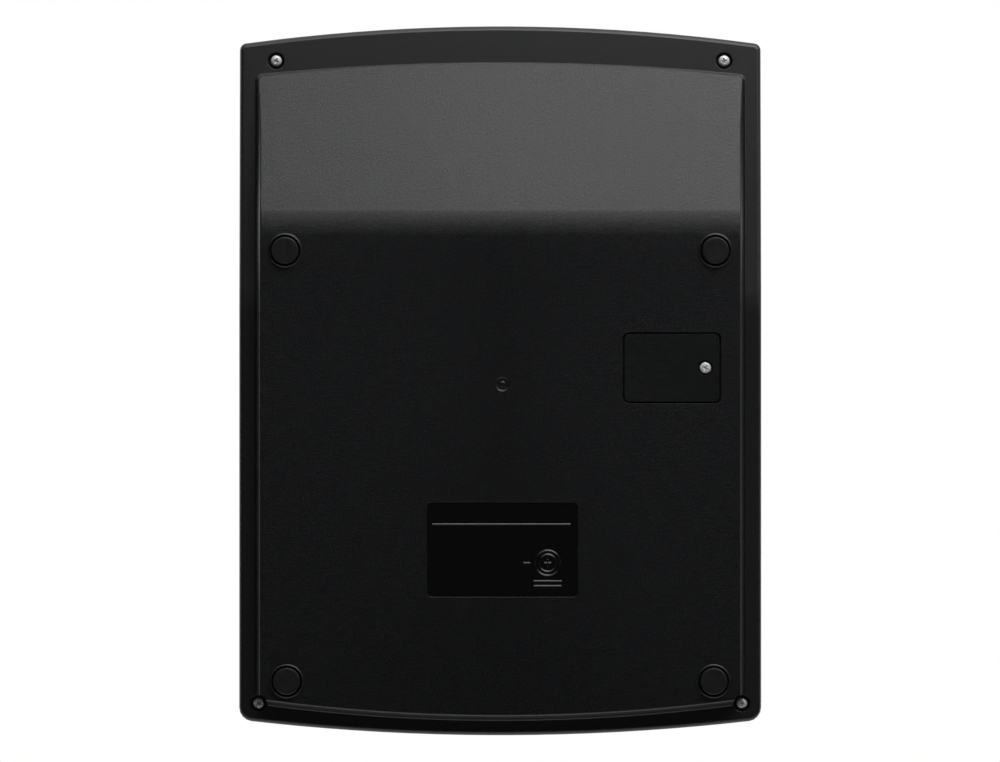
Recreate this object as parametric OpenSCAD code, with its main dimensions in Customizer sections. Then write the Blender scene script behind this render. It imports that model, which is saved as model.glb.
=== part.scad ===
// Desk calculator with a fixed tilted display, solar cell and one LR44 button cell.
// It stands on four rubber feet: +Z is up, +Y runs towards the display, millimetres.
// The origin is on the table under the middle of the case.

/* [Case] */
// Width of the case
case_w = 150; // [140:1:170]
// Length of the case, front edge to rear edge
case_l = 204; // [196:1:220]
// Radius of the bowed rear edge, seen from above
rear_bow_r = 547; // [400:1:900]
// Radius of the bowed front edge, seen from above
front_bow_r = 632; // [400:1:900]
// Corner radius at the rear
rear_corner_r = 2; // [1:0.5:6]
// Corner radius at the front
front_corner_r = 4; // [2:0.5:8]
// Height of the key deck above the table at the front edge
front_h = 13.5; // [13:0.5:18]
// Tilt of the key deck
key_tilt = 3.5; // [2:0.5:6]
// Tilt of the display deck
display_tilt = 13; // [10:0.5:18]
// Distance from the slide switches to the bend between the two decks
switch_to_bend = 9.4; // [8.5:0.1:12]
// Thickness of the side walls of the front case
side_wall = 2; // [1.6:0.1:2.4]
// Thickness of the key deck and the display deck
deck_t = 2.4; // [2:0.1:3]

/* [Rear cover] */
// How far the raised pan stands out below the rim
pan_depth = 4; // [3:0.25:5]
// Width of the rim beside the pan
rim_side = 5.9; // [5:0.1:7]
// Width of the rim behind the pan
rim_back = 10.5; // [9.5:0.1:12]
// Width of the rim in front of the pan
rim_fore = 4.5; // [4:0.1:5.5]
// Radius of the pan's bowed rear edge
pan_back_r = 640; // [500:1:900]
// Radius of the pan's bowed front edge
pan_fore_r = 500; // [400:1:900]
// Corner radius of the pan
pan_corner_r = 1.5; // [0.5:0.25:2.5]
// Thickness of the pan's floor and walls
pan_wall = 2; // [1.8:0.1:2.4]
// Thickness of the rim
rim_t = 3; // [2.6:0.1:3.4]
// Angle of the pan's sloping rear part
pan_slope = 22; // [18:0.5:24]
// Place along Y where the pan starts to slope
pan_bend_y = 45.5; // [44:0.5:50]
// Angle of the rim's rear part
rim_slope = 12; // [10:0.5:13]
// Place along Y where the rim starts to rise
rim_bend_y = 21.6; // [18:0.1:24]
// Height of the tongue that locates the rear cover inside the front case
tongue_h = 1.8; // [1:0.1:2.5]
// Thickness of that tongue
tongue_t = 1; // [0.8:0.1:1.4]
// Wall around a counterbore inside the tray
sleeve_wall = 1.2; // [0.8:0.1:1.4]
// Middle of the mould gate mark
gate_at = [-0.6, -1.1];
// Diameter of the mould gate mark
gate_d = 4; // [3:0.25:6]
// Depth of the mould gate mark
gate_depth = 0.35; // [0.2:0.05:0.5]
// Middle of the blank rating field
label_at = [-0.6, -48.6];
// Size of the blank rating field
label_size = [43.2, 27.2];
// Depth of the blank rating field
label_depth = 0.3; // [0.15:0.05:0.5]
// Corner radius of the blank rating field
label_r = 1.4; // [0.5:0.1:3]

/* [Feet] */
// Diameter of a rubber foot
foot_d = 7.7; // [6:0.1:9]
// How far a foot stands out below the pan
foot_proud = 1.6; // [1.2:0.1:2.5]
// Depth of a foot's pocket
foot_pocket = 1; // [0.6:0.1:1.2]
// Gap around a foot in its pocket
foot_gap = 0.45; // [0.2:0.05:0.5]
// Width of the raised ring around a pocket
foot_ring_w = 0.45; // [0.3:0.05:0.6]
// Height of the raised ring around a pocket
foot_ring_h = 0.25; // [0.1:0.05:0.4]
// Distance of the feet from the side of the case, at the rear and at the front
foot_in = [13.2, 13.7];
// Distance of the rear feet from the start of the slope, and of the front feet from the pan's edge
foot_from_end = [8.2, 11.1];

/* [Case screws] */
// Diameter of a screw's shank
screw_d = 2.2; // [1.8:0.1:2.4]
// Diameter of a screw's head
screw_head_d = 3.4; // [3:0.1:3.8]
// Height of a screw's head
screw_head_h = 1.3; // [1:0.1:1.6]
// Length of a case screw under its head
case_screw_l = 5; // [4:0.5:5.5]
// Diameter of the counterbore around a head
counterbore_d = 4.8; // [4.4:0.1:5]
// Depth of the counterbore below the rim
counterbore_h = 1.6; // [1.4:0.1:1.8]
// Radius of the bosses that take the case screws
case_boss_r = 3; // [2.6:0.1:3.2]
// Distance of the case screws from the side of the case, at the rear and at the front
case_screw_in = [10.5, 5.6];
// Distance of the case screws from the end of the case, at the rear and at the front
case_screw_from_end = [10, 9.2];

/* [Battery] */
// Length of the battery door across the case
door_w = 27.6; // [26:0.1:29]
// Length of the battery door along the case
door_l = 19.8; // [18:0.1:21]
// Thickness of the battery door
door_t = 1.5; // [1.3:0.1:1.8]
// Gap around the battery door
door_gap = 0.35; // [0.25:0.05:0.4]
// Corner radius of the battery door
door_r = 1.5; // [1:0.1:2]
// Distance from the side of the pan to the battery door
door_in = 6; // [5.5:0.1:10]
// Place of the battery door's middle along Y
door_y = 3.6; // [0:0.1:8]
// Diameter of the LR44 cell
cell_d = 11.6; // [11.6:0.1:11.6]
// Height of the LR44 cell
cell_h = 5.4; // [5.4:0.1:5.4]
// Length of the door screw under its head
door_screw_l = 5; // [4:0.5:6]
// Distance of the door screw from the door's end
door_screw_in = 4.2; // [3.5:0.1:5]
// Depth of the recess for the door screw's head
door_screw_seat = 0.8; // [0.6:0.05:0.9]
// Radius of the two pegs that locate the door
peg_r = 0.8; // [0.6:0.05:1]
// Height of those pegs above the door
peg_h = 1.4; // [1:0.1:2]
// Thickness of the spring and the side contact
contact_t = 0.3; // [0.2:0.05:0.4]
// Wall around the battery well and over the cell
well_wall = 1.2; // [1:0.1:1.4]

/* [Keys] */
// Width of a key
key_w = 17.4; // [16:0.1:18]
// Length of a key
key_l = 15.5; // [14:0.1:16]
// Distance between columns of keys
pitch_x = 22.4; // [22:0.1:23]
// Distance between rows of keys
pitch_y = 21; // [20.5:0.1:21.5]
// Height of a key above the deck
key_h = 3.2; // [2.5:0.1:4]
// Corner radius of a key
key_r = 2; // [1.5:0.1:3]
// Travel of a key
key_travel = 1.3; // [1:0.1:1.3]
// Width of the flange that holds a key under the deck
key_flange = 0.8; // [0.6:0.05:0.9]
// Thickness of a key's walls and of its flange
key_wall = 1; // [0.9:0.1:1.2]
// Diameter of a key's plunger
plunger_d = 5; // [4:0.1:6]
// Distance of the front row's middle from the front edge, along the deck
first_row = 19; // [18.5:0.1:20]

/* [Board] */
// Thickness of the circuit board
board_t = 1.2; // [1:0.1:1.6]
// Thickness of the rubber key mat
mat_t = 0.8; // [0.6:0.1:1]
// Width of the circuit board
board_w = 131; // [128:0.5:131]
// Distance from the case's front edge to the circuit board, along the deck
board_start = 11.4; // [11.2:0.1:12]
// How far the circuit board runs on behind the slide switches
board_past = 5.4; // [5:0.1:6]
// Shank diameter of the small screws inside
inner_screw_d = 1.7; // [1.4:0.1:1.8]
// Length of the small screws inside, under the head
inner_screw_l = 4; // [3.5:0.1:4.4]

/* [Display] */
// Width of the clear display panel
panel_w = 132; // [124:1:136]
// Length of the clear display panel
panel_l = 52; // [48:0.5:56]
// Thickness of the clear display panel
panel_t = 1.5; // [1:0.1:1.6]
// Distance from the bend to the panel, along the display deck
panel_start = 10; // [8:0.5:12]
// Size of the opening over the liquid crystal
lcd_view = [104, 26];
// Distance from the bend to the middle of the liquid crystal
lcd_at = 28; // [26:0.5:30]
// Size of the opening over the solar cell
solar_view = [52, 12];
// Middle of the solar cell: across, and along from the bend
solar_at = [33, 52.5];
// Thickness of one glass of the liquid crystal
glass_t = 1.1; // [0.7:0.1:1.1]
// Thickness of the solar cell
solar_t = 1.1; // [0.9:0.1:1.6]

/* [Slide switches] */
// Places of the two switches across the deck
switch_x = [-40, 0];
// Distance of the switches from the rear row of keys, middle to middle
switch_row = 15.6; // [15:0.1:16.5]
// Travel of a switch to each side
switch_travel = 4.5; // [3:0.1:4.5]
// Size of the knob that a finger moves
knob = [4, 2.6];
// Height of the knob above the deck
knob_h = 1.4; // [1:0.1:2]
// Width of the plate under the deck that carries the knob
plate_w = 6; // [5:0.25:6.5]

/* [Clearances] */
// Gap around a key or a knob in the deck
key_gap = 0.3; // [0.2:0.05:0.4]
// Small working gap between pieces that move or slide together
slip = 0.05; // [0.03:0.01:0.08]
// Gap around pieces that are dropped into a recess
seat_gap = 0.15; // [0.1:0.05:0.2]
// Step from the rear cover's edge in to the front case
seam_step = 0.2; // [0:0.05:0.4]

/* [Hidden] */
$fn = 40;
half_w = case_w / 2;
half_l = case_l / 2;
base_z = foot_proud;
rim_z = base_z + pan_depth;
seam_z = rim_z + rim_t;
bend_r = 20;
rim_bend_r = 9;
beyond = 40;
overlap = 1;
bend_steps = 6;
pan_half = half_w - rim_side;
pan_back = half_l - rim_back;
pan_fore = -half_l + rim_fore;

// Depths below the key deck, measured square to it
flange_top = deck_t + slip;
flange_bottom = flange_top + key_wall;
mat_top = flange_bottom + key_travel + 3 * slip;
board_top = mat_top + mat_t;
board_bottom = board_top + board_t;
inner_head_h = 1.2;
inner_head_r = 1.6;
boss_r = 2.2;
switch_at = first_row + 4 * pitch_y + switch_row;
board_end = switch_at + board_past;
display_bend_y = -half_l + (switch_at + switch_to_bend) * cos(key_tilt);

// Places of the feet and the case screws, at the rear and at the front
foot_x = [half_w - foot_in[0], half_w - foot_in[1]];
foot_y = [pan_bend_y - foot_from_end[0], pan_fore + foot_from_end[1]];
case_screw_x = [half_w - case_screw_in[0], half_w - case_screw_in[1]];
case_screw_y = [half_l - case_screw_from_end[0], -half_l + case_screw_from_end[1]];
boss_gap = 0.5;

// The battery well, from the pan's outer face upwards
door_at = [-pan_half + door_in + door_w / 2, door_y];
door_clear = [door_w + 2 * door_gap, door_l + 2 * door_gap];
cell_r = cell_d / 2;
cell_cap_h = 0.25;
cell_cap_in = 1.6;
cell_z = base_z + door_t + slip;
pocket_top = cell_z + cell_h + contact_t + 2 * slip;
well_top = pocket_top + well_wall;
cell_x = door_at[0] + door_w / 2 - 2 * well_wall - cell_r;
door_screw_at = [door_at[0] - door_w / 2 + door_screw_in, door_at[1]];
peg_in = 2 * peg_r;
contact_w = 3.2;
tail_w = 1.6;
tail_t = 0.4;
tail_out = 0.8;
tail_x = [cell_x - cell_r - 0.8, cell_x + 2.1];

// The two slide switches
plate_l = knob[0] + 2 * (2 * switch_travel + key_gap) + 1.6;
wiper_t = 0.25;
wiper_w = 3;

// The keys: name, column, row, rows covered
KEYS = [
  ["key_ac", 0, 0, 1], ["key_0", 1, 0, 1], ["key_00", 2, 0, 1], ["key_point", 3, 0, 1],
  ["key_plus", 4, 0, 2], ["key_equals", 5, 0, 1],
  ["key_c", 0, 1, 1], ["key_1", 1, 1, 1], ["key_2", 2, 1, 1], ["key_3", 3, 1, 1],
  ["key_minus", 5, 1, 1],
  ["key_sign", 0, 2, 1], ["key_4", 1, 2, 1], ["key_5", 2, 2, 1], ["key_6", 3, 2, 1],
  ["key_times", 4, 2, 1], ["key_divide", 5, 2, 1],
  ["key_root", 0, 3, 1], ["key_7", 1, 3, 1], ["key_8", 2, 3, 1], ["key_9", 3, 3, 1],
  ["key_percent", 4, 3, 1], ["key_gt", 5, 3, 1],
  ["key_back", 0, 4, 1], ["key_mc", 1, 4, 1], ["key_mr", 2, 4, 1], ["key_m_minus", 3, 4, 1],
  ["key_m_plus", 4, 4, 1], ["key_mu", 5, 4, 1]
];

// Board screws: steps across and rows up, in the gaps between four keys
BOARD_SCREWS = [[-2, 0], [0, 0], [2, 1], [-2, 2], [0, 2], [2, 3], [-1, 3]];
// Screws of the display bracket: half spacing across, and along from the middle of the glass
bracket_screw = [57.5, 12];

// Depth of the display bracket below its deck, and the sizes of bracket and glass
bracket_top = deck_t + 2 * glass_t + 0.4;
bracket_t = 1.4;
bracket_l = lcd_view[1] + 7;
glass_size = [lcd_view[0] + 6, lcd_view[1] + 5];
ledge = 2.6;
bracket_screw_l = bracket_t + 2.4;
solar_edge = 1.5;
film_t = 0.2;
film_w = 72;
lead_r = 0.45;

// Points on an arc about [cx, cy], from angle a0 to a1
function arc(cx, cy, r, a0, a1, steps) =
  [for (i = [0:steps]) let (a = a0 + (a1 - a0) * i / steps) [cx + r * cos(a), cy + r * sin(a)]];

// A four-sided outline with straight sides and bowed ends, all corners round
function bowed(half_w, back, fore, back_r, fore_r, back_c, fore_c) =
  let (
    cb = back - back_r,
    cf = fore + fore_r,
    xb = half_w - back_c,
    xf = half_w - fore_c,
    yb = cb + sqrt(pow(back_r - back_c, 2) - xb * xb),
    yf = cf - sqrt(pow(fore_r - fore_c, 2) - xf * xf),
    ab = atan2(yb - cb, xb),
    af = atan2(cf - yf, xf)
  )
  concat(
    arc(xb, yb, back_c, 0, ab, 5),
    arc(0, cb, back_r, ab, 180 - ab, 20),
    arc(-xb, yb, back_c, 180 - ab, 180, 5),
    arc(-xf, yf, fore_c, 180, 180 + af, 5),
    arc(0, cf, fore_r, 180 + af, 360 - af, 20),
    arc(xf, yf, fore_c, 360 - af, 360, 5)
  );

// The case's outline, moved in by t
function case_outline(t) =
  bowed(case_w / 2 - t, half_l - t, -half_l + t, rear_bow_r - t, front_bow_r - t,
        max(rear_corner_r - t, 0.4), max(front_corner_r - t, 0.4));

// The pan's outline, moved in by t
function pan_outline(t) =
  bowed(pan_half - t, pan_back - t, pan_fore + t, pan_back_r - t, pan_fore_r - t,
        max(pan_corner_r - t, 0.4), max(pan_corner_r - t, 0.4));

// A side line that runs level, then bends up by angle a at y = yb; lift moves it square to itself
function bend_line(z, yb, a, r, lift) =
  let (
    y0 = yb - r * tan(a / 2),
    y1 = y0 + (r - lift) * sin(a),
    z1 = z + r - (r - lift) * cos(a),
    y2 = half_l + beyond
  )
  concat(
    [[-half_l - beyond, z + lift]],
    [for (i = [0:bend_steps]) let (b = a * i / bend_steps)
      [y0 + (r - lift) * sin(b), z + r - (r - lift) * cos(b)]],
    [[y2, z1 + (y2 - y1) * tan(a)]]
  );
function pan_line(lift) = bend_line(base_z, pan_bend_y, pan_slope, bend_r, lift);
function rim_line(lift) = bend_line(rim_z, rim_bend_y, rim_slope, rim_bend_r, lift);

// Height of the two decks' outer faces over a place along Y
bend_z = front_h + (display_bend_y + half_l) * tan(key_tilt);
function deck_z(y) = front_h + (y + half_l) * tan(key_tilt);

// The side line of both decks, moved in by depth d
function top_line(d) =
  let (
    y = display_bend_y + d * (1 / cos(display_tilt) - 1 / cos(key_tilt))
        / (tan(display_tilt) - tan(key_tilt)),
    y0 = -half_l - beyond,
    y1 = half_l + beyond
  )
  [[y0, deck_z(y0) - d / cos(key_tilt)],
   [y, deck_z(y) - d / cos(key_tilt)],
   [y1, bend_z - d / cos(display_tilt) + (y1 - display_bend_y) * tan(display_tilt)]];

function backwards(p) = [for (i = [len(p) - 1:-1:0]) p[i]];

// Points of the key deck's and the display deck's own frames, as [x, y, z] of the case
function deck_point(p) =
  [p[0], -half_l + p[1] * cos(key_tilt) - p[2] * sin(key_tilt),
   front_h + p[1] * sin(key_tilt) + p[2] * cos(key_tilt)];
function display_point(p) =
  [p[0], display_bend_y + p[1] * cos(display_tilt) - p[2] * sin(display_tilt),
   bend_z + p[1] * sin(display_tilt) + p[2] * cos(display_tilt)];

function key_x(k) = (k[1] - 2.5) * pitch_x;
function key_y(k) = first_row + (k[2] + (k[3] - 1) / 2) * pitch_y;
function key_length(k) = key_l + (k[3] - 1) * pitch_y;

// Everything between two side lines, as wide as the case and more
module between(low, high) {
  rotate([90, 0, 90])
    translate([0, 0, -case_w])
      linear_extrude(2 * case_w)
        polygon(concat(low, backwards(high)));
}

// An outline drawn out over the whole height
module column(points) {
  translate([0, 0, -beyond])
    linear_extrude(4 * beyond)
      polygon(points);
}

// A flat plate with round corners, standing on z = 0 about the middle
module plate(w, l, h, r) {
  linear_extrude(h) {
    square([w - 2 * r, l], center = true);
    square([w, l - 2 * r], center = true);
    for (sx = [-1, 1], sy = [-1, 1])
      translate([sx * (w / 2 - r), sy * (l / 2 - r)])
        circle(r);
  }
}

// The frame of the key deck: z = 0 is its outer face, y runs up from the front edge
module on_deck() {
  translate([0, -half_l, front_h])
    rotate([key_tilt, 0, 0])
      children();
}

// The frame of the display deck: z = 0 is its outer face, y runs up from the bend
module on_display() {
  translate([0, display_bend_y, bend_z])
    rotate([display_tilt, 0, 0])
      children();
}

module at_case_screws() {
  for (i = [0, 1], s = [-1, 1])
    translate([s * case_screw_x[i], case_screw_y[i], 0])
      children();
}

module at_feet() {
  for (i = [0, 1], s = [-1, 1])
    translate([s * foot_x[i], foot_y[i], 0])
      children();
}

module at_board_screws() {
  for (b = BOARD_SCREWS)
    translate([b[0] * pitch_x, first_row + (b[1] + 0.5) * pitch_y, 0])
      children();
}

module at_bracket_screws() {
  for (sx = [-1, 1], sy = [-1, 1])
    translate([sx * bracket_screw[0], lcd_at + sy * bracket_screw[1], 0])
      children();
}

// Height of the rim's outer face over a place along Y, away from the bend
function rim_height(y) = rim_z + max(0, y - rim_bend_y) * tan(rim_slope);
function head_seat(i) = rim_height(case_screw_y[i]) + counterbore_h;

/* Rear cover: a black tray with a raised pan, a rim, foot pockets and the battery well */
module rear_cover() {
  color([0.02, 0.02, 0.022])
    difference() {
      union() {
        cover_shell();
        cover_tongue();
        screw_sleeves();
        battery_well();
        foot_rings();
      }
      at_feet()
        translate([0, 0, base_z - overlap])
          cylinder(d = foot_d + 2 * foot_gap, h = overlap + foot_pocket);
      case_screw_holes();
      door_recess();
      gate_mark();
      label_recess();
    }
}

module cover_shell() {
  difference() {
    union() {
      intersection() {
        column(case_outline(0));
        between(rim_line(0), rim_line(rim_t));
      }
      intersection() {
        column(pan_outline(0));
        between(pan_line(0), rim_line(rim_t));
      }
    }
    intersection() {
      column(pan_outline(pan_wall));
      between(pan_line(pan_wall), rim_line(rim_t + overlap));
    }
  }
}

module cover_tongue() {
  gap = seam_step + side_wall + seat_gap;
  difference() {
    intersection() {
      column(case_outline(gap));
      between(rim_line(rim_t - overlap), rim_line(rim_t + tongue_h));
    }
    column(case_outline(gap + tongue_t));
    at_case_screws()
      cylinder(r = case_boss_r + boss_gap, h = 2 * beyond);
  }
}

// Walls around the counterbores inside the tray
module screw_sleeves() {
  intersection() {
    at_case_screws()
      cylinder(d = counterbore_d + 2 * sleeve_wall, h = 2 * beyond);
    column(case_outline(tongue_t));
    union() {
      between(rim_line(0), rim_line(rim_t));
      intersection() {
        column(pan_outline(0));
        between(pan_line(0), rim_line(rim_t));
      }
    }
  }
}

module case_screw_holes() {
  for (i = [0, 1], s = [-1, 1])
    translate([s * case_screw_x[i], case_screw_y[i], 0]) {
      translate([0, 0, -overlap])
        cylinder(d = counterbore_d, h = head_seat(i) + overlap);
      cylinder(d = screw_d + 2 * seat_gap, h = 2 * beyond);
    }
}

// A thin raised ring around each foot
module foot_rings() {
  at_feet()
    translate([0, 0, base_z - foot_ring_h])
      cylinder(d = foot_d + 2 * (foot_gap + foot_ring_w), h = foot_ring_h + overlap);
}

// A solid block over the door with a round pocket for the cell
module battery_well() {
  translate([door_at[0], door_at[1], base_z + pan_wall - overlap])
    plate(door_clear[0] + 2 * well_wall, door_clear[1] + 2 * well_wall,
          well_top - base_z - pan_wall + overlap, door_r + well_wall);
}

module door_recess() {
  translate([door_at[0], door_at[1], base_z - overlap])
    plate(door_clear[0], door_clear[1], door_t + slip + overlap, door_r + door_gap);
  translate([cell_x, door_at[1], base_z])
    cylinder(r = cell_r + seat_gap, h = pocket_top - base_z);
  // slot of the side contact, beside the cell
  translate([tail_x[0] - tail_out, door_at[1] - contact_w / 2 - tail_t, cell_z])
    cube([cell_x - tail_x[0], contact_w + 2 * tail_t, pocket_top - cell_z]);
  // openings for the tails of both contacts
  for (x = tail_x)
    translate([x - seat_gap, door_at[1] - tail_w / 2 - seat_gap, pocket_top - overlap])
      cube([tail_t + 2 * seat_gap, tail_w + 2 * seat_gap, well_wall + 2 * overlap]);
  // thread hole of the door screw and the sockets of the door's pegs
  translate([door_screw_at[0], door_screw_at[1], base_z])
    cylinder(d = screw_d + 2 * slip, h = door_screw_seat + door_screw_l + slip);
  at_door_pegs()
    cylinder(r = peg_r + slip, h = peg_h + 2 * slip);
}

module at_door_pegs() {
  for (s = [-1, 1])
    translate([door_at[0] + door_w / 2 - peg_in, door_at[1] + s * (door_l / 2 - peg_in),
               base_z + door_t])
      children();
}

// The mark where the plastic entered the mould
module gate_mark() {
  translate([gate_at[0], gate_at[1], base_z - overlap])
    difference() {
      cylinder(d = gate_d, h = overlap + gate_depth);
      cylinder(d = 0.3 * gate_d, h = 2 * overlap + gate_depth);
    }
}

// A shallow blank field where a rating plate would be moulded
module label_recess() {
  translate([label_at[0], label_at[1], base_z - overlap])
    plate(label_size[0], label_size[1], overlap + label_depth, label_r);
}

/* Front case: both decks, the side walls and all bosses, in one piece */
module front_case() {
  color([0.025, 0.025, 0.028])
    difference() {
      union() {
        case_shell();
        case_bosses();
        on_deck()
          board_bosses();
        on_display()
          bracket_bosses();
      }
      on_deck() {
        for (k = KEYS)
          translate([key_x(k), key_y(k), -deck_t - overlap])
            plate(key_w + 2 * key_gap, key_length(k) + 2 * key_gap, deck_t + 2 * overlap,
                  key_r + key_gap);
        for (x = switch_x)
          translate([x, switch_at, -deck_t - overlap])
            plate(knob[0] + 2 * (switch_travel + key_gap), knob[1] + 2 * key_gap,
                  deck_t + 2 * overlap, 2 * key_gap);
        at_board_screws()
          translate([0, 0, -board_top - overlap])
            cylinder(d = inner_screw_d + 2 * slip, h = inner_screw_l - board_t + overlap + slip);
      }
      on_display() {
        translate([0, panel_start + panel_l / 2, -panel_t])
          plate(panel_w + 2 * seat_gap, panel_l + 2 * seat_gap, panel_t + overlap, 2);
        translate([0, lcd_at, -deck_t - overlap])
          plate(lcd_view[0], lcd_view[1], deck_t, 1);
        translate([solar_at[0], solar_at[1], -deck_t - overlap])
          plate(solar_view[0], solar_view[1], deck_t, 1);
        at_bracket_screws()
          translate([0, 0, -bracket_top - overlap])
            cylinder(d = inner_screw_d + 2 * slip, h = bracket_screw_l - bracket_t + overlap + slip);
      }
      for (i = [0, 1], s = [-1, 1])
        translate([s * case_screw_x[i], case_screw_y[i], 0])
          cylinder(d = screw_d + 2 * slip, h = head_seat(i) + case_screw_l + slip);
    }
}

module case_shell() {
  difference() {
    intersection() {
      column(case_outline(seam_step));
      between(rim_line(rim_t), top_line(0));
    }
    intersection() {
      column(case_outline(seam_step + side_wall));
      between(rim_line(rim_t - overlap), top_line(deck_t));
    }
  }
}

module case_bosses() {
  intersection() {
    at_case_screws()
      cylinder(r = case_boss_r, h = 2 * beyond);
    between(rim_line(rim_t), top_line(deck_t / 2));
    column(case_outline(seam_step + side_wall / 2));
  }
}

module board_bosses() {
  at_board_screws()
    translate([0, 0, -board_top])
      cylinder(r = boss_r, h = board_top - deck_t / 2);
}

module bracket_bosses() {
  at_bracket_screws()
    translate([0, 0, -bracket_top])
      cylinder(r = boss_r, h = bracket_top - (deck_t + panel_t) / 2);
}

/* Display panel: clear acrylic over the liquid crystal and the solar cell */
module display_panel() {
  color([0.6, 0.65, 0.65, 0.4])
    on_display()
      translate([0, panel_start + panel_l / 2, -panel_t])
        plate(panel_w, panel_l, panel_t, 2 - seat_gap);
}

/* Liquid crystal: a front glass and a shorter rear glass that leaves a ledge for the ribbon */
module lcd_glass() {
  color([0.55, 0.6, 0.52])
    on_display() {
      translate([-glass_size[0] / 2, lcd_at - glass_size[1] / 2, -deck_t - glass_t])
        cube([glass_size[0], glass_size[1], glass_t]);
      translate([-glass_size[0] / 2, lcd_at - glass_size[1] / 2 + ledge, -deck_t - 2 * glass_t])
        cube([glass_size[0], glass_size[1] - ledge, glass_t]);
    }
}

/* Bracket: a plastic frame, open at the front, that clamps the glass under the display deck */
module lcd_bracket() {
  pad_w = 1.6;
  pad_l = 20;
  color([0.75, 0.76, 0.74])
    on_display()
      difference() {
        union() {
          translate([0, lcd_at, -bracket_top - bracket_t])
            plate(2 * (bracket_screw[0] + boss_r), bracket_l, bracket_t, 2);
          // two pads that press on the glass
          for (s = [-1, 1])
            translate([s * (lcd_view[0] / 2 + pad_w) - pad_w / 2, lcd_at - pad_l / 2,
                       -bracket_top - overlap / 2])
              cube([pad_w, pad_l, bracket_top + overlap / 2 - deck_t - 2 * glass_t]);
        }
        translate([-lcd_view[0] / 2, lcd_at - bracket_l / 2 - overlap,
                   -bracket_top - bracket_t - overlap])
          cube([lcd_view[0], bracket_l - 6 + overlap, bracket_t + 2 * overlap]);
        at_bracket_screws()
          translate([0, 0, -bracket_top - bracket_t - overlap])
            cylinder(d = inner_screw_d + 2 * slip, h = bracket_t + 2 * overlap);
      }
}

/* Ribbon: a printed film from the glass's ledge down to the circuit board */
module lcd_ribbon() {
  glass_edge = lcd_at - glass_size[1] / 2;
  path = [
    display_point([0, glass_edge + ledge - 0.4, -deck_t - glass_t]),
    display_point([0, glass_edge, -deck_t - glass_t]),
    display_point([0, glass_edge - 4, -deck_t - glass_t - 2.5]),
    deck_point([0, board_end + 1.5, -board_top + 1.6]),
    deck_point([0, board_end, -board_top + film_t]),
    deck_point([0, board_end - 2, -board_top + film_t])
  ];
  color([0.8, 0.55, 0.2])
    intersection() {
      between([for (p = path) [p[1], p[2]]], [for (p = path) [p[1], p[2] - film_t]]);
      translate([-film_w / 2, -half_l, 0])
        cube([film_w, case_l, 2 * beyond]);
    }
}

/* Solar cell: a dark glass plate under the display deck */
module solar_cell() {
  color([0.1, 0.06, 0.09])
    on_display()
      translate([solar_at[0] - solar_view[0] / 2 - solar_edge,
                 solar_at[1] - solar_view[1] / 2 - solar_edge, -deck_t - solar_t])
        cube([solar_view[0] + 2 * solar_edge, solar_view[1] + 2 * solar_edge, solar_t]);
}

/* Circuit board under the keys, screwed to the bosses of the key deck */
module circuit_board() {
  color([0.1, 0.4, 0.2])
    on_deck()
      difference() {
        translate([-board_w / 2, board_start, -board_bottom])
          cube([board_w, board_end - board_start, board_t]);
        at_board_screws()
          translate([0, 0, -board_bottom - overlap])
            cylinder(d = inner_screw_d + 2 * seat_gap, h = board_t + 2 * overlap);
      }
}

/* Controller: the drop of black resin over the bonded chip, under the board */
module controller_chip() {
  r = 6;
  h = 1.3;
  ball = (r * r + h * h) / (2 * h);
  color([0.03, 0.03, 0.03])
    on_deck()
      translate([pitch_x, first_row + 1.9 * pitch_y, -board_bottom])
        intersection() {
          translate([0, 0, ball - h])
            sphere(ball, $fn = 160);
          translate([-r, -r, -h])
            cube([2 * r, 2 * r, h]);
        }
}

/* Key mat: one rubber sheet on the board with a dome under each key */
module key_mat() {
  mat_end = first_row + 4 * pitch_y + key_l / 2 + 1.4;
  color([0.75, 0.75, 0.72])
    on_deck()
      difference() {
        union() {
          translate([-board_w / 2, board_start, -board_top])
            cube([board_w, mat_end - board_start, mat_t]);
          for (k = KEYS)
            translate([key_x(k), key_y(k), -mat_top])
              cylinder(r1 = plunger_d / 2 + 1.2, r2 = plunger_d / 2 - 0.3,
                       h = mat_top - flange_bottom);
        }
        at_board_screws()
          translate([0, 0, -board_top - overlap])
            cylinder(r = boss_r + 2 * seat_gap, h = mat_t + 2 * overlap);
      }
}

/* Button cell, LR44: positive can below, negative cap above */
module button_cell() {
  color([0.75, 0.75, 0.77])
    translate([cell_x, door_at[1], cell_z]) {
      cylinder(r = cell_r, h = cell_h - cell_cap_h);
      cylinder(r = cell_r - cell_cap_in, h = cell_h);
    }
}

/* Battery spring: the negative contact over the cell, with a tail through the well's roof */
module battery_spring() {
  color([0.8, 0.7, 0.4]) {
    translate([2 * cell_x - tail_x[1] - tail_t, door_at[1] - contact_w / 2, pocket_top - contact_t])
      cube([2 * (tail_x[1] + tail_t - cell_x), contact_w, contact_t]);
    translate([tail_x[1], door_at[1] - tail_w / 2, pocket_top - contact_t])
      cube([tail_t, tail_w, contact_t + well_wall + tail_out]);
  }
}

/* Side contact: the positive strip beside the cell, with a tail through the well's roof */
module battery_side_contact() {
  fold_z = pocket_top - 3 * contact_t;
  strip_x = cell_x - cell_r - slip - contact_t;
  color([0.8, 0.7, 0.4]) {
    translate([strip_x, door_at[1] - contact_w / 2, cell_z + tail_t])
      cube([contact_t, contact_w, fold_z - cell_z - tail_t + contact_t]);
    translate([tail_x[0], door_at[1] - contact_w / 2, fold_z])
      cube([strip_x - tail_x[0] + contact_t, contact_w, contact_t]);
    translate([tail_x[0], door_at[1] - tail_w / 2, fold_z])
      cube([tail_t, tail_w, well_top + tail_out - fold_z]);
  }
}

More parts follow.
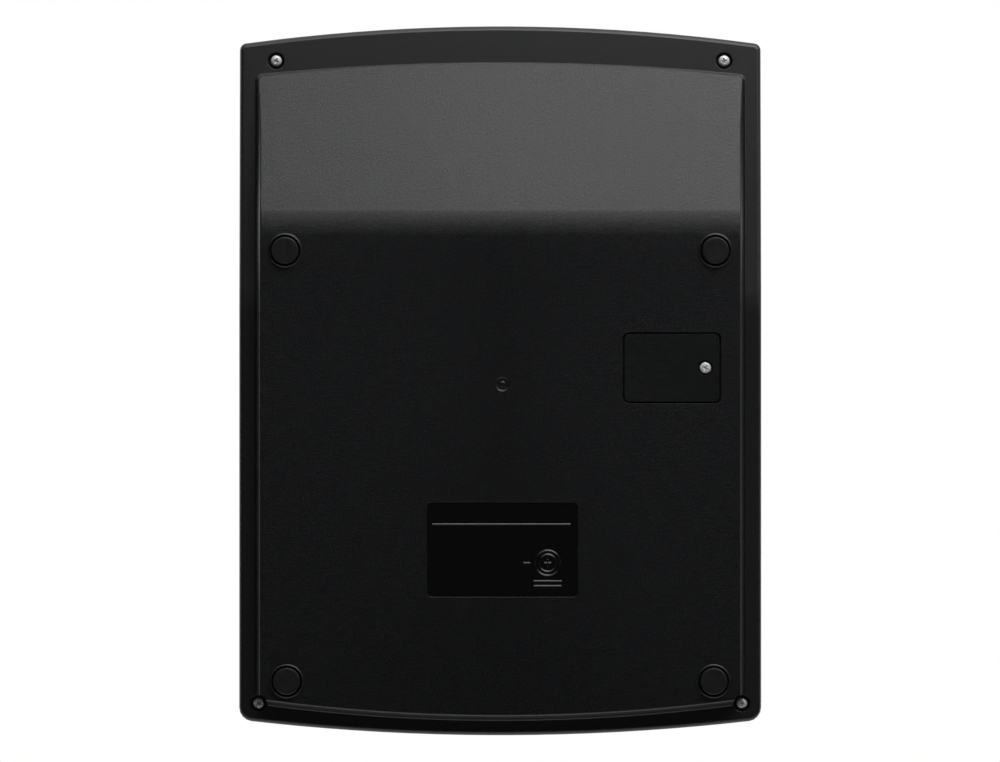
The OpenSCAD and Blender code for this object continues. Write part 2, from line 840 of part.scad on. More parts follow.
/* Battery door: a plate flush with the pan, with two pegs and a countersunk place for its screw */
module battery_door() {
  color([0.02, 0.02, 0.022])
    difference() {
      union() {
        translate([door_at[0], door_at[1], base_z])
          plate(door_w, door_l, door_t, door_r);
        at_door_pegs()
          translate([0, 0, -slip])
            cylinder(r = peg_r, h = peg_h + slip);
      }
      translate([door_screw_at[0], door_screw_at[1], base_z - overlap]) {
        cylinder(d = screw_head_d + 1, h = overlap + door_screw_seat);
        cylinder(d = screw_d + 2 * seat_gap, h = 2 * beyond);
      }
    }
}

/* Door screw: cross-recess screw that stays in the door when it is lifted off */
module door_screw() {
  color([0.7, 0.7, 0.72])
    translate([door_screw_at[0], door_screw_at[1], base_z + door_screw_seat])
      cross_screw(screw_d, screw_head_d - 0.2, door_screw_seat - slip, door_screw_l);
}

// A pan-head screw with its head below z = 0 and its shank above
module cross_screw(d, head_d, head_h, l) {
  difference() {
    union() {
      translate([0, 0, -head_h])
        cylinder(d1 = 0.8 * head_d, d2 = head_d, h = 0.35 * head_h);
      translate([0, 0, -0.65 * head_h])
        cylinder(d = head_d, h = 0.65 * head_h);
      cylinder(d = d, h = l - 0.4 * d);
      translate([0, 0, l - 0.4 * d])
        cylinder(d1 = d, d2 = 0.5 * d, h = 0.4 * d);
    }
    for (a = [0, 90])
      rotate([0, 0, a])
        translate([-0.3 * head_d, -0.07 * head_d, -head_h - overlap])
          cube([0.6 * head_d, 0.14 * head_d, overlap + 0.7 * head_h]);
  }
}

/* Case screws: four, through the rim into the front case */
module case_screws() {
  color([0.7, 0.7, 0.72])
    for (i = [0, 1], s = [-1, 1])
      translate([s * case_screw_x[i], case_screw_y[i], head_seat(i)])
        cross_screw(screw_d, screw_head_d, screw_head_h, case_screw_l);
}

/* Inner screws: the small screws of the board and of the display bracket */
module inner_screws() {
  color([0.7, 0.7, 0.72]) {
    on_deck()
      at_board_screws()
        translate([0, 0, -board_bottom])
          inner_screw(inner_screw_l);
    on_display()
      at_bracket_screws()
        translate([0, 0, -bracket_top - bracket_t])
          inner_screw(bracket_t + 2.4);
  }
}

module inner_screw(l) {
  translate([0, 0, -inner_head_h])
    cylinder(r = inner_head_r, h = inner_head_h);
  cylinder(d = inner_screw_d, h = l);
}

/* Feet: four rubber discs, pressed and glued into their pockets */
module foot(i, s) {
  edge = 0.3;
  color([0.03, 0.03, 0.03])
    translate([s * foot_x[i], foot_y[i], 0]) {
      cylinder(d1 = foot_d - 2 * edge, d2 = foot_d, h = edge);
      translate([0, 0, edge])
        cylinder(d = foot_d, h = base_z + foot_pocket - edge);
    }
}
module foot_rear_left() foot(0, -1);
module foot_rear_right() foot(0, 1);
module foot_front_left() foot(1, -1);
module foot_front_right() foot(1, 1);

/* Slide switches: a ribbed knob on a plate that runs under the deck */
module slide_switch(x) {
  rib = 0.5;
  color([0.5, 0.5, 0.52])
    on_deck()
      translate([x, switch_at, 0])
        difference() {
          union() {
            translate([-plate_l / 2, -plate_w / 2, -flange_bottom])
              cube([plate_l, plate_w, key_wall]);
            translate([-knob[0] / 2, -knob[1] / 2, -flange_bottom])
              cube([knob[0], knob[1], flange_bottom + knob_h]);
          }
          for (i = [-1, 0, 1])
            translate([i * 2 * rib - rib / 2, -knob[1], knob_h - rib])
              cube([rib, 2 * knob[1], 2 * rib]);
        }
}
module decimal_switch() slide_switch(switch_x[0]);
module rounding_switch() slide_switch(switch_x[1]);

/* Wipers: a springy brass strip under each switch plate that rests on the board's pads */
module wiper(x) {
  contact = -board_top + slip;
  upper = [[-5, -flange_bottom], [5, -flange_bottom], [6.5, contact + wiper_t],
           [8.5, contact + wiper_t]];
  color([0.8, 0.65, 0.3])
    on_deck()
      translate([x, switch_at - wiper_w / 2, 0])
        rotate([90, 0, 0])
          mirror([0, 0, 1])
            linear_extrude(wiper_w)
              polygon(concat(upper, backwards([for (p = upper) [p[0], p[1] - wiper_t]])));
}
module decimal_wiper() wiper(switch_x[0]);
module rounding_wiper() wiper(switch_x[1]);

/* Leads: thin insulated wires from the battery and the solar cell to the board */
module lead(points) {
  for (i = [0:len(points) - 2])
    hull()
      for (p = [points[i], points[i + 1]])
        translate(p)
          sphere(lead_r, $fn = 8);
}

// From beside a contact's tail to the board above it, shift millimetres further on
module battery_lead(tail, shift) {
  start = [tail + tail_t / 2, door_at[1] + tail_w / 2 + lead_r + slip, well_top + lead_r];
  pad_y = door_at[1] + half_l;
  mid = deck_point([start[0] + shift, pad_y, -board_bottom - 1.3]);
  pad = deck_point([start[0] + shift, pad_y, -board_bottom - lead_r]);
  lead([start, [start[0], start[1], mid[2]], mid, pad]);
}
module battery_lead_plus() {
  color([0.7, 0.05, 0.05])
    battery_lead(tail_x[0], -1.5);
}
module battery_lead_minus() {
  color([0.03, 0.03, 0.03])
    battery_lead(tail_x[1], 2.7);
}

module solar_lead(x, pad_x) {
  below = -bracket_top - bracket_t;
  lead([
    display_point([x, solar_at[1] - 4, -deck_t - solar_t - lead_r]),
    display_point([x, lcd_at + bracket_l / 2 + 2, below - 3]),
    display_point([pad_x, lcd_at - bracket_l / 2, below - 4]),
    deck_point([pad_x, board_end + 3, -board_bottom - 1.5]),
    deck_point([pad_x, board_end - 3, -board_bottom - lead_r])
  ]);
}
module solar_lead_plus() {
  color([0.7, 0.05, 0.05])
    solar_lead(solar_at[0] + 18, 52);
}
module solar_lead_minus() {
  color([0.03, 0.03, 0.03])
    solar_lead(solar_at[0] + 14, 48);
}

/* Keys: hollow caps with a flange under the deck and a plunger on the mat's dome */
module keycap(k) {
  l = key_length(k);
  roof = 1.5;
  color(k[1] == 0 || k[1] > 3 || k[2] == 4 ? [0.25, 0.26, 0.28] : [0.75, 0.75, 0.73])
    on_deck()
      translate([key_x(k), key_y(k), 0]) {
        difference() {
          union() {
            translate([0, 0, -flange_bottom])
              plate(key_w, l, flange_bottom + key_h, key_r);
            translate([0, 0, -flange_bottom])
              plate(key_w + 2 * key_flange, l + 2 * key_flange, key_wall, key_r);
          }
          translate([0, 0, -flange_bottom - overlap])
            plate(key_w - 2 * key_wall, l - 2 * key_wall, flange_bottom + overlap + key_h - roof,
                  key_r - key_wall / 2);
        }
        translate([0, 0, -flange_bottom])
          cylinder(d = plunger_d, h = flange_bottom + key_h - roof / 2);
      }
}

rear_cover();
front_case();
display_panel();
lcd_glass();
lcd_bracket();
lcd_ribbon();
solar_cell();
circuit_board();
controller_chip();
key_mat();
button_cell();
battery_spring();
battery_side_contact();
battery_door();
door_screw();
case_screws();
inner_screws();
foot_rear_left();
foot_rear_right();
foot_front_left();
foot_front_right();
decimal_switch();
rounding_switch();
decimal_wiper();
rounding_wiper();
battery_lead_plus();
battery_lead_minus();
solar_lead_plus();
solar_lead_minus();
for (k = KEYS)
  keycap(k);
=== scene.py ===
from math import atan2, copysign, cos, hypot, pi, radians, sin, sqrt, tan
import bmesh
import bpy
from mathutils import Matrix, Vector


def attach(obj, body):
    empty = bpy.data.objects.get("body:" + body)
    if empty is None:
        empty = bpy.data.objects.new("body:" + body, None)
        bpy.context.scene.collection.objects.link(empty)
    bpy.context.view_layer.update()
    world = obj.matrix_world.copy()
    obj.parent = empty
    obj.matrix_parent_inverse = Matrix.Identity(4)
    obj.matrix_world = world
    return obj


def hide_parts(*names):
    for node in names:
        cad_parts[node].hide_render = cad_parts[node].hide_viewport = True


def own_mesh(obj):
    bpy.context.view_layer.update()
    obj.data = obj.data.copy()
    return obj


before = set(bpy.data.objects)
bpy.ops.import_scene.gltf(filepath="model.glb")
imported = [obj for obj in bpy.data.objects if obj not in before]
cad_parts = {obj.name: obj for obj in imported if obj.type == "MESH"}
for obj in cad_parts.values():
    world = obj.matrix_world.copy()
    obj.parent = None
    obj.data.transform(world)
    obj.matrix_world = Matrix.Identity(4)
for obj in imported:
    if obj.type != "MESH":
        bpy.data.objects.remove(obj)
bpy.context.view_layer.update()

# ---- Rear cover ------------------------------------------------------------------------------
# One injection-moulded tray in black ABS with a spark-eroded, fine matt face. A rim seats on the
# front case; the pan inside it stands 4 mm proud and bends up 22 degrees under the display, with
# foot pockets, counterbores, the battery opening, the gate mark and a blank rating field in it.
MM = 0.001
CASE = dict(half=75.0, back=102.0, fore=-102.0, back_r=547.0, fore_r=632.0, back_c=2.0, fore_c=4.0)
PAN = dict(half=69.1, back=91.5, fore=-97.5, back_r=640.0, fore_r=500.0, back_c=1.5, fore_c=1.5)
BASE_Z, RIM_Z, RIM_T = 1.6, 5.6, 3.0
PAN_FULLER = 1.016  # the pan is this much wider than its drawn outline
PAN_BEND, RIM_BEND = (45.5, 22.0, 27.0), (21.6, 12.0, 40.0)  # y, degrees and radius of each bend
PAN_WALL, EDGE_R = 2.0, 1.3
DRAFT, FOOT_FILLET, PAN_FILLET = 1.0, 0.5, 0.6
TONGUE_H, TONGUE_T, TONGUE_IN, SEAM_EASE = 1.8, 1.0, 2.35, 0.12
SCREWS = [(64.5, 92.0), (-64.5, 92.0), (69.4, -92.8), (-69.4, -92.8)]
SCREW_HOLE_R, COUNTERBORE_R, COUNTERBORE_H, SLEEVE_R, BOSS_R = 1.25, 2.4, 1.6, 3.6, 3.0
FEET = [(-61.8, 37.3), (61.8, 37.3), (-61.3, -86.4), (61.3, -86.4)]
FOOT_POCKET_R, FOOT_POCKET_H, FOOT_RING_R, FOOT_RING_H = 4.3, 1.0, 4.75, 0.25
DOOR_AT, DOOR_W, DOOR_L, DOOR_T, DOOR_R, DOOR_GAP = (-49.3, 3.6), 27.6, 19.8, 1.5, 1.5, 0.35
DOOR_SCREW_AT, PEG_R, PEG_AT = (-58.9, 3.6), 0.8, [(-37.1, 11.9), (-37.1, -4.7)]
THREAD_R, INNER_FACE_Z = 1.15, 2.8
CELL_AT, CELL_R, CELL_Z, POCKET_TOP = (-43.7, DOOR_AT[1]), 5.8, 3.15, 8.95
WELL_TOP, WELL_WALL = 10.15, 1.2
GATE_AT, GATE_R = (-0.6, -1.1), 2.0
LABEL_AT, LABEL_W, LABEL_L, LABEL_H, LABEL_R = (-0.6, -48.6), 43.2, 27.2, 0.3, 1.4
# Grid lines of the filled faces in y and x; they lie closer on the bends
ROWS = [-88, -80, -70, -60, -50, -40, -30, -20, -10, -2, 6, 13, 18, 20.6, 21.1, 21.6, 22.1, 22.6,
        24.4, 25.1, 25.8, 26.5, 27.2, 32, 37, 41.6, 42.6, 43.6, 44.6, 45.6, 46.6, 47.6, 48.4, 49.1,
        54, 60, 67, 74, 82]
COLUMNS = [-64, -58, -50, -42, -34, -26, -18, -10, -3, 3, 10, 18, 26, 34, 42, 50, 58, 64]
CORNER_STEPS, LEAST_CORNER_R = 5, 0.4


def bent(y, level, bend, lift):
    """Height over y of a face that runs level and then bends upwards on a round."""
    bend_y, angle, r = bend
    a = radians(angle)
    start = bend_y - r * tan(a / 2)
    end = start + (r - lift) * sin(a)
    if y <= start:
        return level + lift
    if y >= end:
        return level + r - (r - lift) * cos(a) + (y - end) * tan(a)
    return level + r - sqrt((r - lift) ** 2 - (y - start) ** 2)


def pan_z(y, lift=0.0):
    return bent(y, BASE_Z, PAN_BEND, lift)


def rim_z(y, lift=0.0):
    return bent(y, RIM_Z, RIM_BEND, lift)


def seam_z(y):
    return rim_z(y, RIM_T)


def contour(shape, inset):
    """Points of a bowed outline moved in by inset, always the same number, anticlockwise."""
    half = shape["half"] - inset
    points = [(half, y) for y in ROWS]
    for sign, end in ((1, "back"), (-1, "fore")):
        bow_r = shape[end + "_r"] - inset
        centre = shape[end] - sign * shape[end + "_r"]
        c = max(shape[end + "_c"] - inset, LEAST_CORNER_R)
        x = half - c
        rise = sqrt((bow_r - c) ** 2 - x * x)
        turns = [atan2(rise, x) * i / (CORNER_STEPS - 1) for i in range(CORNER_STEPS)]
        arc = [(x + c * cos(a), centre + sign * (rise + c * sin(a))) for a in turns]
        points += [(sign * px, py) for px, py in arc]
        points += [(-sign * bx, centre + sign * sqrt(bow_r ** 2 - bx * bx)) for bx in COLUMNS]
        points += [(-sign * px, py) for px, py in reversed(arc)]
        if sign > 0:
            points += [(-half, y) for y in reversed(ROWS)]
    return points


def flat_ring(shape, inset, height):
    return [(x, y, height(y)) for x, y in contour(shape, inset)]


def loft(mesh, rings, hoop=False):
    """Quads between neighbouring rings of points in millimetres; a hoop's last ring meets its
    first. Returns the rings' vertices."""
    made = [[mesh.verts.new((x * MM, y * MM, z * MM)) for x, y, z in ring] for ring in rings]
    for a, b in zip(made, made[1:] + made[:1] * hoop):
        for i in range(len(a)):
            j = (i + 1) % len(a)
            mesh.faces.new((a[i], a[j], b[j], b[i]))
    return made


def fill_contour(mesh, edge, height):
    """A grid of quads inside a contour's ring, at the height that height(y) gives."""
    grid = [[mesh.verts.new((x * MM, y * MM, height(y) * MM)) for x in COLUMNS] for y in ROWS]
    sides, at = [], 0
    for n in (len(ROWS), CORNER_STEPS, len(COLUMNS), CORNER_STEPS) * 2:
        sides.append(edge[at:at + n])
        at += n
    right, rear_right, rear, rear_left, left, fore_left, fore, fore_right = sides
    rear, left = rear[::-1], left[::-1]
    rows = [[a, *line, b] for a, line, b in zip(left, grid, right)]
    for low, high in [(fore, grid[0]), (grid[-1], rear), *zip(rows, rows[1:])]:
        for i in range(len(low) - 1):
            mesh.faces.new((low[i], low[i + 1], high[i + 1], high[i]))
    for first, arc, last, inner in ((right[-1], rear_right, rear[-1], grid[-1][-1]),
                                    (rear[0], rear_left, left[-1], grid[-1][0]),
                                    (left[0], fore_left, fore[0], grid[0][0]),
                                    (fore[-1], fore_right, right[0], grid[0][-1])):
        fan = [first] + arc + [last]
        for a, b in zip(fan, fan[1:]):
            mesh.faces.new((inner, a, b))


def placed(name, data):
    """A new object at the origin of the scene."""
    made = bpy.data.objects.new(name, data)
    bpy.context.scene.collection.objects.link(made)
    return made


def solid(name, mesh):
    """The finished mesh as an object whose faces point outwards."""
    bmesh.ops.remove_doubles(mesh, verts=mesh.verts, dist=1e-7)
    bmesh.ops.recalc_face_normals(mesh, faces=mesh.faces)
    data = bpy.data.meshes.new(name)
    mesh.to_mesh(data)
    mesh.free()
    return placed(name, data)


def shell(name, rings, first_z, last_z):
    """A closed solid over a contour's rings, whose ends are filled at first_z(y) and last_z(y)."""
    mesh = bmesh.new()
    made = loft(mesh, rings)
    fill_contour(mesh, made[0], first_z)
    fill_contour(mesh, made[-1], last_z)
    return solid(name, mesh)


def level(at, z0=0.0):
    """Places a piece's own frame upright at a spot of the case."""
    return lambda u, v, z: (at[0] + u, at[1] + v, z0 + z)


def stacked(name, outlines, place=level((0, 0)), hoop=False):
    """A closed solid from a stack of (points, z); place turns its own frame into the case's."""
    mesh = bmesh.new()
    rings = loft(mesh, [[place(x, y, z) for x, y in points] for points, z in outlines], hoop)
    if not hoop:
        mesh.faces.new(rings[0])
        mesh.faces.new(rings[-1])
    return solid(name, mesh)


def slab(outline, *heights):
    """The stack of one outline at each height."""
    return [(outline, z) for z in heights]


def oblong(w, l):
    """Outline of a rectangle with sharp corners about the origin."""
    return [(x * w / 2, y * l / 2) for x, y in ((-1, -1), (1, -1), (1, 1), (-1, 1))]


def round_plate(w, l, r, steps=6):
    """Outline of a rectangle with round corners about the origin."""
    points = []
    for k, (sx, sy) in enumerate(((1, 1), (-1, 1), (-1, -1), (1, -1))):
        for i in range(steps + 1):
            a = pi / 2 * (k + i / steps)
            points.append((sx * (w / 2 - r) + r * cos(a), sy * (l / 2 - r) + r * sin(a)))
    return points


def plates(w, l, r, profile, steps=6):
    """The stack of one plate outline grown by each (grow, z) of a profile."""
    return [(round_plate(w + 2 * g, l + 2 * g, max(r + g, 0.05), steps), z) for g, z in profile]


def discs(profile, steps=48):
    """The stack of circles of each (radius, z) of a profile."""
    turn = [2 * pi * i / steps for i in range(steps)]
    return [([(r * cos(a), r * sin(a)) for a in turn], z) for r, z in profile]


def rod(name, r, low, high, place, steps=24):
    """A plain cylinder, mostly to cut with."""
    return stacked(name, discs([(r, low), (r, high)], steps), place)


def quarter(steps):
    """The angles of a quarter turn from 0, in so many steps."""
    return [pi / 2 * i / steps for i in range(steps + 1)]


def lip(depth, lip_r, below=0.6):
    """Profile (grow, z) of a cutter with a rounded mouth at z = 0 that reaches down to depth."""
    mouth = [(lip_r * (1 - sin(a)), lip_r * (1 - cos(a))) for a in quarter(4)[1:]]
    return [(lip_r + below * 0.3, -below), (lip_r, -0.015), *mouth, (0.0, depth)]


def join(pieces):
    """Adds the faces and materials of all pieces to the first as one mesh, and returns it."""
    target, *others = pieces
    mesh = bmesh.new()
    mesh.from_mesh(target.data)
    for other in others:
        first, had = len(target.data.materials), len(mesh.faces)
        for material in other.data.materials:
            target.data.materials.append(material)
        mesh.from_mesh(other.data)
        mesh.faces.ensure_lookup_table()
        for face in mesh.faces[had:]:
            face.material_index = first
        bpy.data.objects.remove(other)
    mesh.to_mesh(target.data)
    mesh.free()
    return target


def settle(target):
    """Turns an object's modifiers into its plain mesh."""
    bpy.context.view_layer.update()
    evaluated = target.evaluated_get(bpy.context.evaluated_depsgraph_get())
    old, target.data = target.data, bpy.data.meshes.new_from_object(evaluated)
    target.modifiers.clear()
    target.data.name = old.name = target.name
    bpy.data.meshes.remove(old)


def combine(target, tools, operation="DIFFERENCE"):
    """Cuts the tools from the target or joins them to it, and removes them."""
    for tool in tools:
        step = target.modifiers.new("step", "BOOLEAN")
        step.object, step.operation, step.solver = tool, operation, "MANIFOLD"
    settle(target)
    for tool in tools:
        bpy.data.objects.remove(tool)


def soften(target, angle=28.0):
    """Smooth shading that keeps edges sharper than angle, with flat faces kept flat."""
    mesh = bmesh.new()
    mesh.from_mesh(target.data)
    bmesh.ops.remove_doubles(mesh, verts=mesh.verts, dist=1e-6)
    bmesh.ops.dissolve_degenerate(mesh, dist=1e-6, edges=mesh.edges)
    for face in mesh.faces:
        face.smooth = True
    for edge in mesh.edges:
        edge.smooth = len(edge.link_faces) == 2 and edge.calc_face_angle(0) < radians(angle)
    mesh.to_mesh(target.data)
    mesh.free()
    even = target.modifiers.new("even", "WEIGHTED_NORMAL")
    even.keep_sharp, even.mode, even.weight = True, "FACE_AREA", 100
    settle(target)


def wall_ring(share):
    """One ring of the pan's drafted wall: 0 at its foot on the rim, 1 at its edge on the pan. The
    fillet at the foot ends at 0.4 and the round of the edge starts at 0.6."""
    ring = []
    outer, inner = contour(PAN, -FOOT_FILLET), contour(PAN, DRAFT + PAN_FILLET)
    for (xo, yo), (xi, yi), (_, ye) in zip(outer, inner, contour(PAN, 0.0)):
        height = max(rim_z(ye) - pan_z(ye), 0.05)
        draft = DRAFT * min(1.0, height / (RIM_Z - BASE_Z))
        foot, top = min(FOOT_FILLET, 0.4 * height), min(PAN_FILLET, 0.45 * height)
        if share <= 0.4:
            a = pi / 2 * share / 0.4
            across, down = foot * (sin(a) - 1), foot * (1 - cos(a))
        else:
            a = pi / 2 * (share - 0.6) / 0.4
            across, down = draft + top * (1 - cos(a)), height - top * (1 - sin(a))
        t, v = (across + FOOT_FILLET) / (FOOT_FILLET + DRAFT + PAN_FILLET), down / height
        x, y = xo + (xi - xo) * t, yo + (yi - yo) * t
        ring.append((x * PAN_FULLER, y, rim_z(y) * (1 - v) + pan_z(y) * v))
    return ring


# The solid block between the outer skin and the face that meets the front case
skin = [flat_ring(CASE, inset, lambda y, lift=lift: rim_z(y, lift)) for inset, lift in (
    (TONGUE_IN + TONGUE_T, RIM_T), (TONGUE_IN + TONGUE_T, RIM_T + TONGUE_H),
    (TONGUE_IN, RIM_T + TONGUE_H), (TONGUE_IN, RIM_T), (SEAM_EASE, RIM_T))]
skin.append(flat_ring(CASE, 0.0, lambda y: seam_z(y) - SEAM_EASE))
skin += [flat_ring(CASE, EDGE_R * (1 - cos(a)), lambda y, s=sin(a): rim_z(y) + EDGE_R * (1 - s))
         for a in quarter(6)]
skin += [wall_ring(s) for s in (0.0, 0.1, 0.2, 0.3, 0.4, 0.6, 0.7, 0.8, 0.9, 1.0)]
rear_cover = shell("rear_cover_shell", skin, seam_z, pan_z)

# The hollow of the tray, with the sleeves round the counterbores and the cell well left standing
pan_roof, over_seam = lambda y: pan_z(y, PAN_WALL), lambda y: seam_z(y) + 1
hollow = shell("hollow", [flat_ring(PAN, PAN_WALL, pan_roof), flat_ring(PAN, PAN_WALL, over_seam)],
               pan_roof, over_seam)
combine(hollow, [rod("sleeve", SLEEVE_R, -1, 40, level(at), 48) for at in SCREWS])
combine(rear_cover, [hollow])
around = 2 * (DOOR_GAP + WELL_WALL)
well = stacked("well", plates(DOOR_W + around, DOOR_L + around, 3.0, [
    (0, BASE_Z + 1), (0, WELL_TOP - 0.4), (-0.4, WELL_TOP)]), level(DOOR_AT))
foot_ring = [(FOOT_RING_R + 0.3, 0.5), (FOOT_RING_R + 0.22, 0.02), (FOOT_RING_R + 0.08, -0.05),
             (FOOT_RING_R, -0.15), (FOOT_RING_R - 0.08, -0.22), (FOOT_RING_R - 0.2, -FOOT_RING_H),
             (FOOT_POCKET_R + 0.12, -FOOT_RING_H), (FOOT_POCKET_R - 0.3, -0.2)]
combine(rear_cover, [well] + [stacked("foot_ring", discs(foot_ring, 64), level(at, BASE_Z))
                              for at in FEET], "UNION")

pocket = [(0.2, -0.8), (0.1, -FOOT_RING_H - 0.015), (0.03, -FOOT_RING_H + 0.05), (0, -0.1),
          (0, FOOT_POCKET_H - 0.2), (-0.2, FOOT_POCKET_H)]
cuts = [stacked("pocket", discs([(FOOT_POCKET_R + g, z) for g, z in pocket], 64), level(at, BASE_Z))
        for at in FEET]


def on_seam(at):
    """Places a piece over the sloping face that meets the front case."""
    return lambda u, v, z: (at[0] + u, at[1] + v, seam_z(at[1] + v) + z)


for at in SCREWS:
    if at[1] < 0:  # the front pair also cut into the corners of the pan
        cuts.append(rod("pan_notch", COUNTERBORE_R + 0.02, 0.5, RIM_Z + 0.8, level(at), 40))
    mouth = [(COUNTERBORE_R + g, z) for g, z in lip(COUNTERBORE_H, 0.22)]
    cuts.append(stacked("counterbore", discs(mouth), lambda u, v, z: (  # its floor is level
        at[0] + u, at[1] + v, rim_z(at[1] + v * (1 - z / COUNTERBORE_H)) + z)))
    cuts.append(rod("screw_hole", SCREW_HOLE_R, 0, 45, level(at)))
    cuts.append(rod("boss_room", BOSS_R + 0.5, -0.03, 9, on_seam(at), 32))
cuts.append(stacked("door_opening", plates(DOOR_W + 2 * DOOR_GAP, DOOR_L + 2 * DOOR_GAP,
                                           DOOR_R + DOOR_GAP, lip(DOOR_T + 0.05, 0.07)),
                    level(DOOR_AT, BASE_Z)))
cell_room = [(CELL_R + 0.45, INNER_FACE_Z), (CELL_R + 0.45, CELL_Z), (CELL_R + 0.15, CELL_Z + 0.3),
             (CELL_R + 0.15, POCKET_TOP)]
cuts.append(stacked("cell_pocket", discs(cell_room, 64), level(CELL_AT)))
TAILS = [CELL_AT[0] - CELL_R - 0.8, CELL_AT[0] + 2.1]  # the contacts' ends, through the roof
slots = [(TAILS[0] - 0.8, CELL_AT[0], 2.0, 2.9, POCKET_TOP)]
slots += [(x - 0.15, x + 0.55, 0.95, POCKET_TOP - 1, WELL_TOP + 1) for x in TAILS]
for x0, x1, half, z0, z1 in slots:
    cuts.append(stacked("contact_slot", slab(oblong(x1 - x0, 2 * half), z0, z1),
                        level(((x0 + x1) / 2, DOOR_AT[1]))))
cuts.append(rod("door_thread", THREAD_R, INNER_FACE_Z, 7.45, level(DOOR_SCREW_AT)))
cuts += [rod("peg_socket", PEG_R + 0.05, INNER_FACE_Z, 4.6, level(at)) for at in PEG_AT]
cuts.append(stacked("label", plates(LABEL_W, LABEL_L, LABEL_R, lip(LABEL_H, 0.1)),
                    level(LABEL_AT, BASE_Z)))
combine(rear_cover, cuts)
gate = [(GATE_R + 0.25, -0.5), (GATE_R + 0.12, 0.0), (GATE_R, 0.06), (GATE_R - 0.25, 0.28),
        (GATE_R - 0.6, 0.35), (0.9, 0.35), (0.68, 0.2), (0.6, 0.03), (0.5, 0.0), (0.4, -0.5)]
combine(rear_cover, [stacked("gate", discs(gate), level(GATE_AT, BASE_Z), hoop=True)])
soften(rear_cover)


def feed(made, **inputs):
    """Sets a shader node's inputs by name; a value that is a socket is linked. Returns the node."""
    for name, value in inputs.items():
        name = name.replace("_", " ")
        socket = made.inputs[name if name in made.inputs else int(name[1:])]
        if isinstance(value, bpy.types.NodeSocket):
            made.id_data.links.new(value, socket)
        else:
            socket.default_value = value
    return made


def node(near, kind, **inputs):
    """A new shader node with these inputs, in the tree that the node or socket near is in."""
    return feed(near.id_data.nodes.new(f"ShaderNode{kind}"), **inputs)


def worked(kind, operation, *values):
    """The result of one mathematical step on the values, of which the first is a socket."""
    made = node(values[0], kind, **{f"_{i}": value for i, value in enumerate(values)})
    made.operation = operation
    return made.outputs["Value" if operation == "LENGTH" else 0]


def finish_of(name):
    """A new material, its surface shader and the piece's own coordinates."""
    material = bpy.data.materials.new(name)
    material.use_nodes = True
    shader = material.node_tree.nodes["Principled BSDF"]
    return material, shader, node(shader, "TexCoord").outputs["Object"]


def scaled(place, x, y, z):
    """Coordinates in which a pattern repeats every x, y and z millimetres; 0 is not at all."""
    scale = [1 / (size * MM) if size else 0 for size in (x, y, z)]
    return node(place, "Mapping", Vector=place, Scale=scale).outputs[0]


def cloud(place, size, detail=2.0, rough=0.5, stretch=(1, 1, 1)):
    """Noise whose spots are about size millimetres across, drawn out by stretch."""
    return node(place, "TexNoise", Vector=scaled(place, *[size * s for s in stretch]), Scale=1.0,
                Detail=detail, Roughness=rough).outputs["Fac"]


def span(value, low, high, start=0.3, end=0.7):
    """The value, which runs from start to end, as a number from low to high."""
    return node(value, "MapRange", Value=value, From_Min=start, From_Max=end, To_Min=low,
                To_Max=high).outputs[0]


def shades(value, low, high):
    """The colours between low and high for a value from 0 to 1."""
    mixed = node(value, "Mix")
    mixed.data_type = "RGBA"
    return feed(mixed, _0=value, _6=(*low, 1), _7=(*high, 1)).outputs[2]


def bump(height, depth, strength, **under):
    """Fine relief of depth millimetres."""
    return node(height, "Bump", Height=height, Distance=depth * MM, Strength=strength,
                **under).outputs[0]


GRAIN, STREAK, STREAK_L, SHEEN_FAN_CORE = 0.42, 0.40, 11, 12


def black_abs(name, grain_depth, rough, low, high, fan=False, streaks=0.5, gloss=0.5):
    """Fine eroded grain with streaks along X; fan adds a painted sheen round the gate: lighter to
    either side of it along X, darker ahead of and behind it.
    """
    material, shader, place = finish_of(name)
    grain = cloud(place, GRAIN, 4.0, 0.75)
    streak = cloud(place, STREAK, 3.0, 0.7, stretch=(STREAK_L, 1, 1))
    tone = span(worked("Math", "ADD", grain, streak), 0, 1, 0.82, 1.18)
    # painted sheen round the gate: the tone grows lighter to either side of it along X and darker
    # along Y
    if fan:
        off_gate = worked("VectorMath", "SUBTRACT", place, (GATE_AT[0] * MM, GATE_AT[1] * MM, 0))
        aside = node(place, "SeparateXYZ", Vector=off_gate).outputs[0]
        reach = worked("Math", "ADD", worked("VectorMath", "LENGTH", off_gate), SHEEN_FAN_CORE * MM)
        turn = worked("Math", "DIVIDE", worked("Math", "ABSOLUTE", aside), reach)
        tone = worked("Math", "MULTIPLY", tone, span(turn, 0.45, 1.15, 0.05, 0.85))
    feed(shader, Base_Color=shades(tone, low, high), Roughness=span(tone, *rough, 0, 1), IOR=1.53,
         Specular_IOR_Level=gloss,
         Normal=bump(grain, grain_depth, 0.9, Normal=bump(streak, grain_depth * 0.12, streaks)))
    return material


MOULD_BLACK = (0.0010, 0.0014, 0.0022), (0.0036, 0.0042, 0.0054)


def paint(piece, *finishes):
    """Gives a piece these finishes in place of what it has."""
    piece.data.materials.clear()
    for finish in finishes:
        piece.data.materials.append(finish)


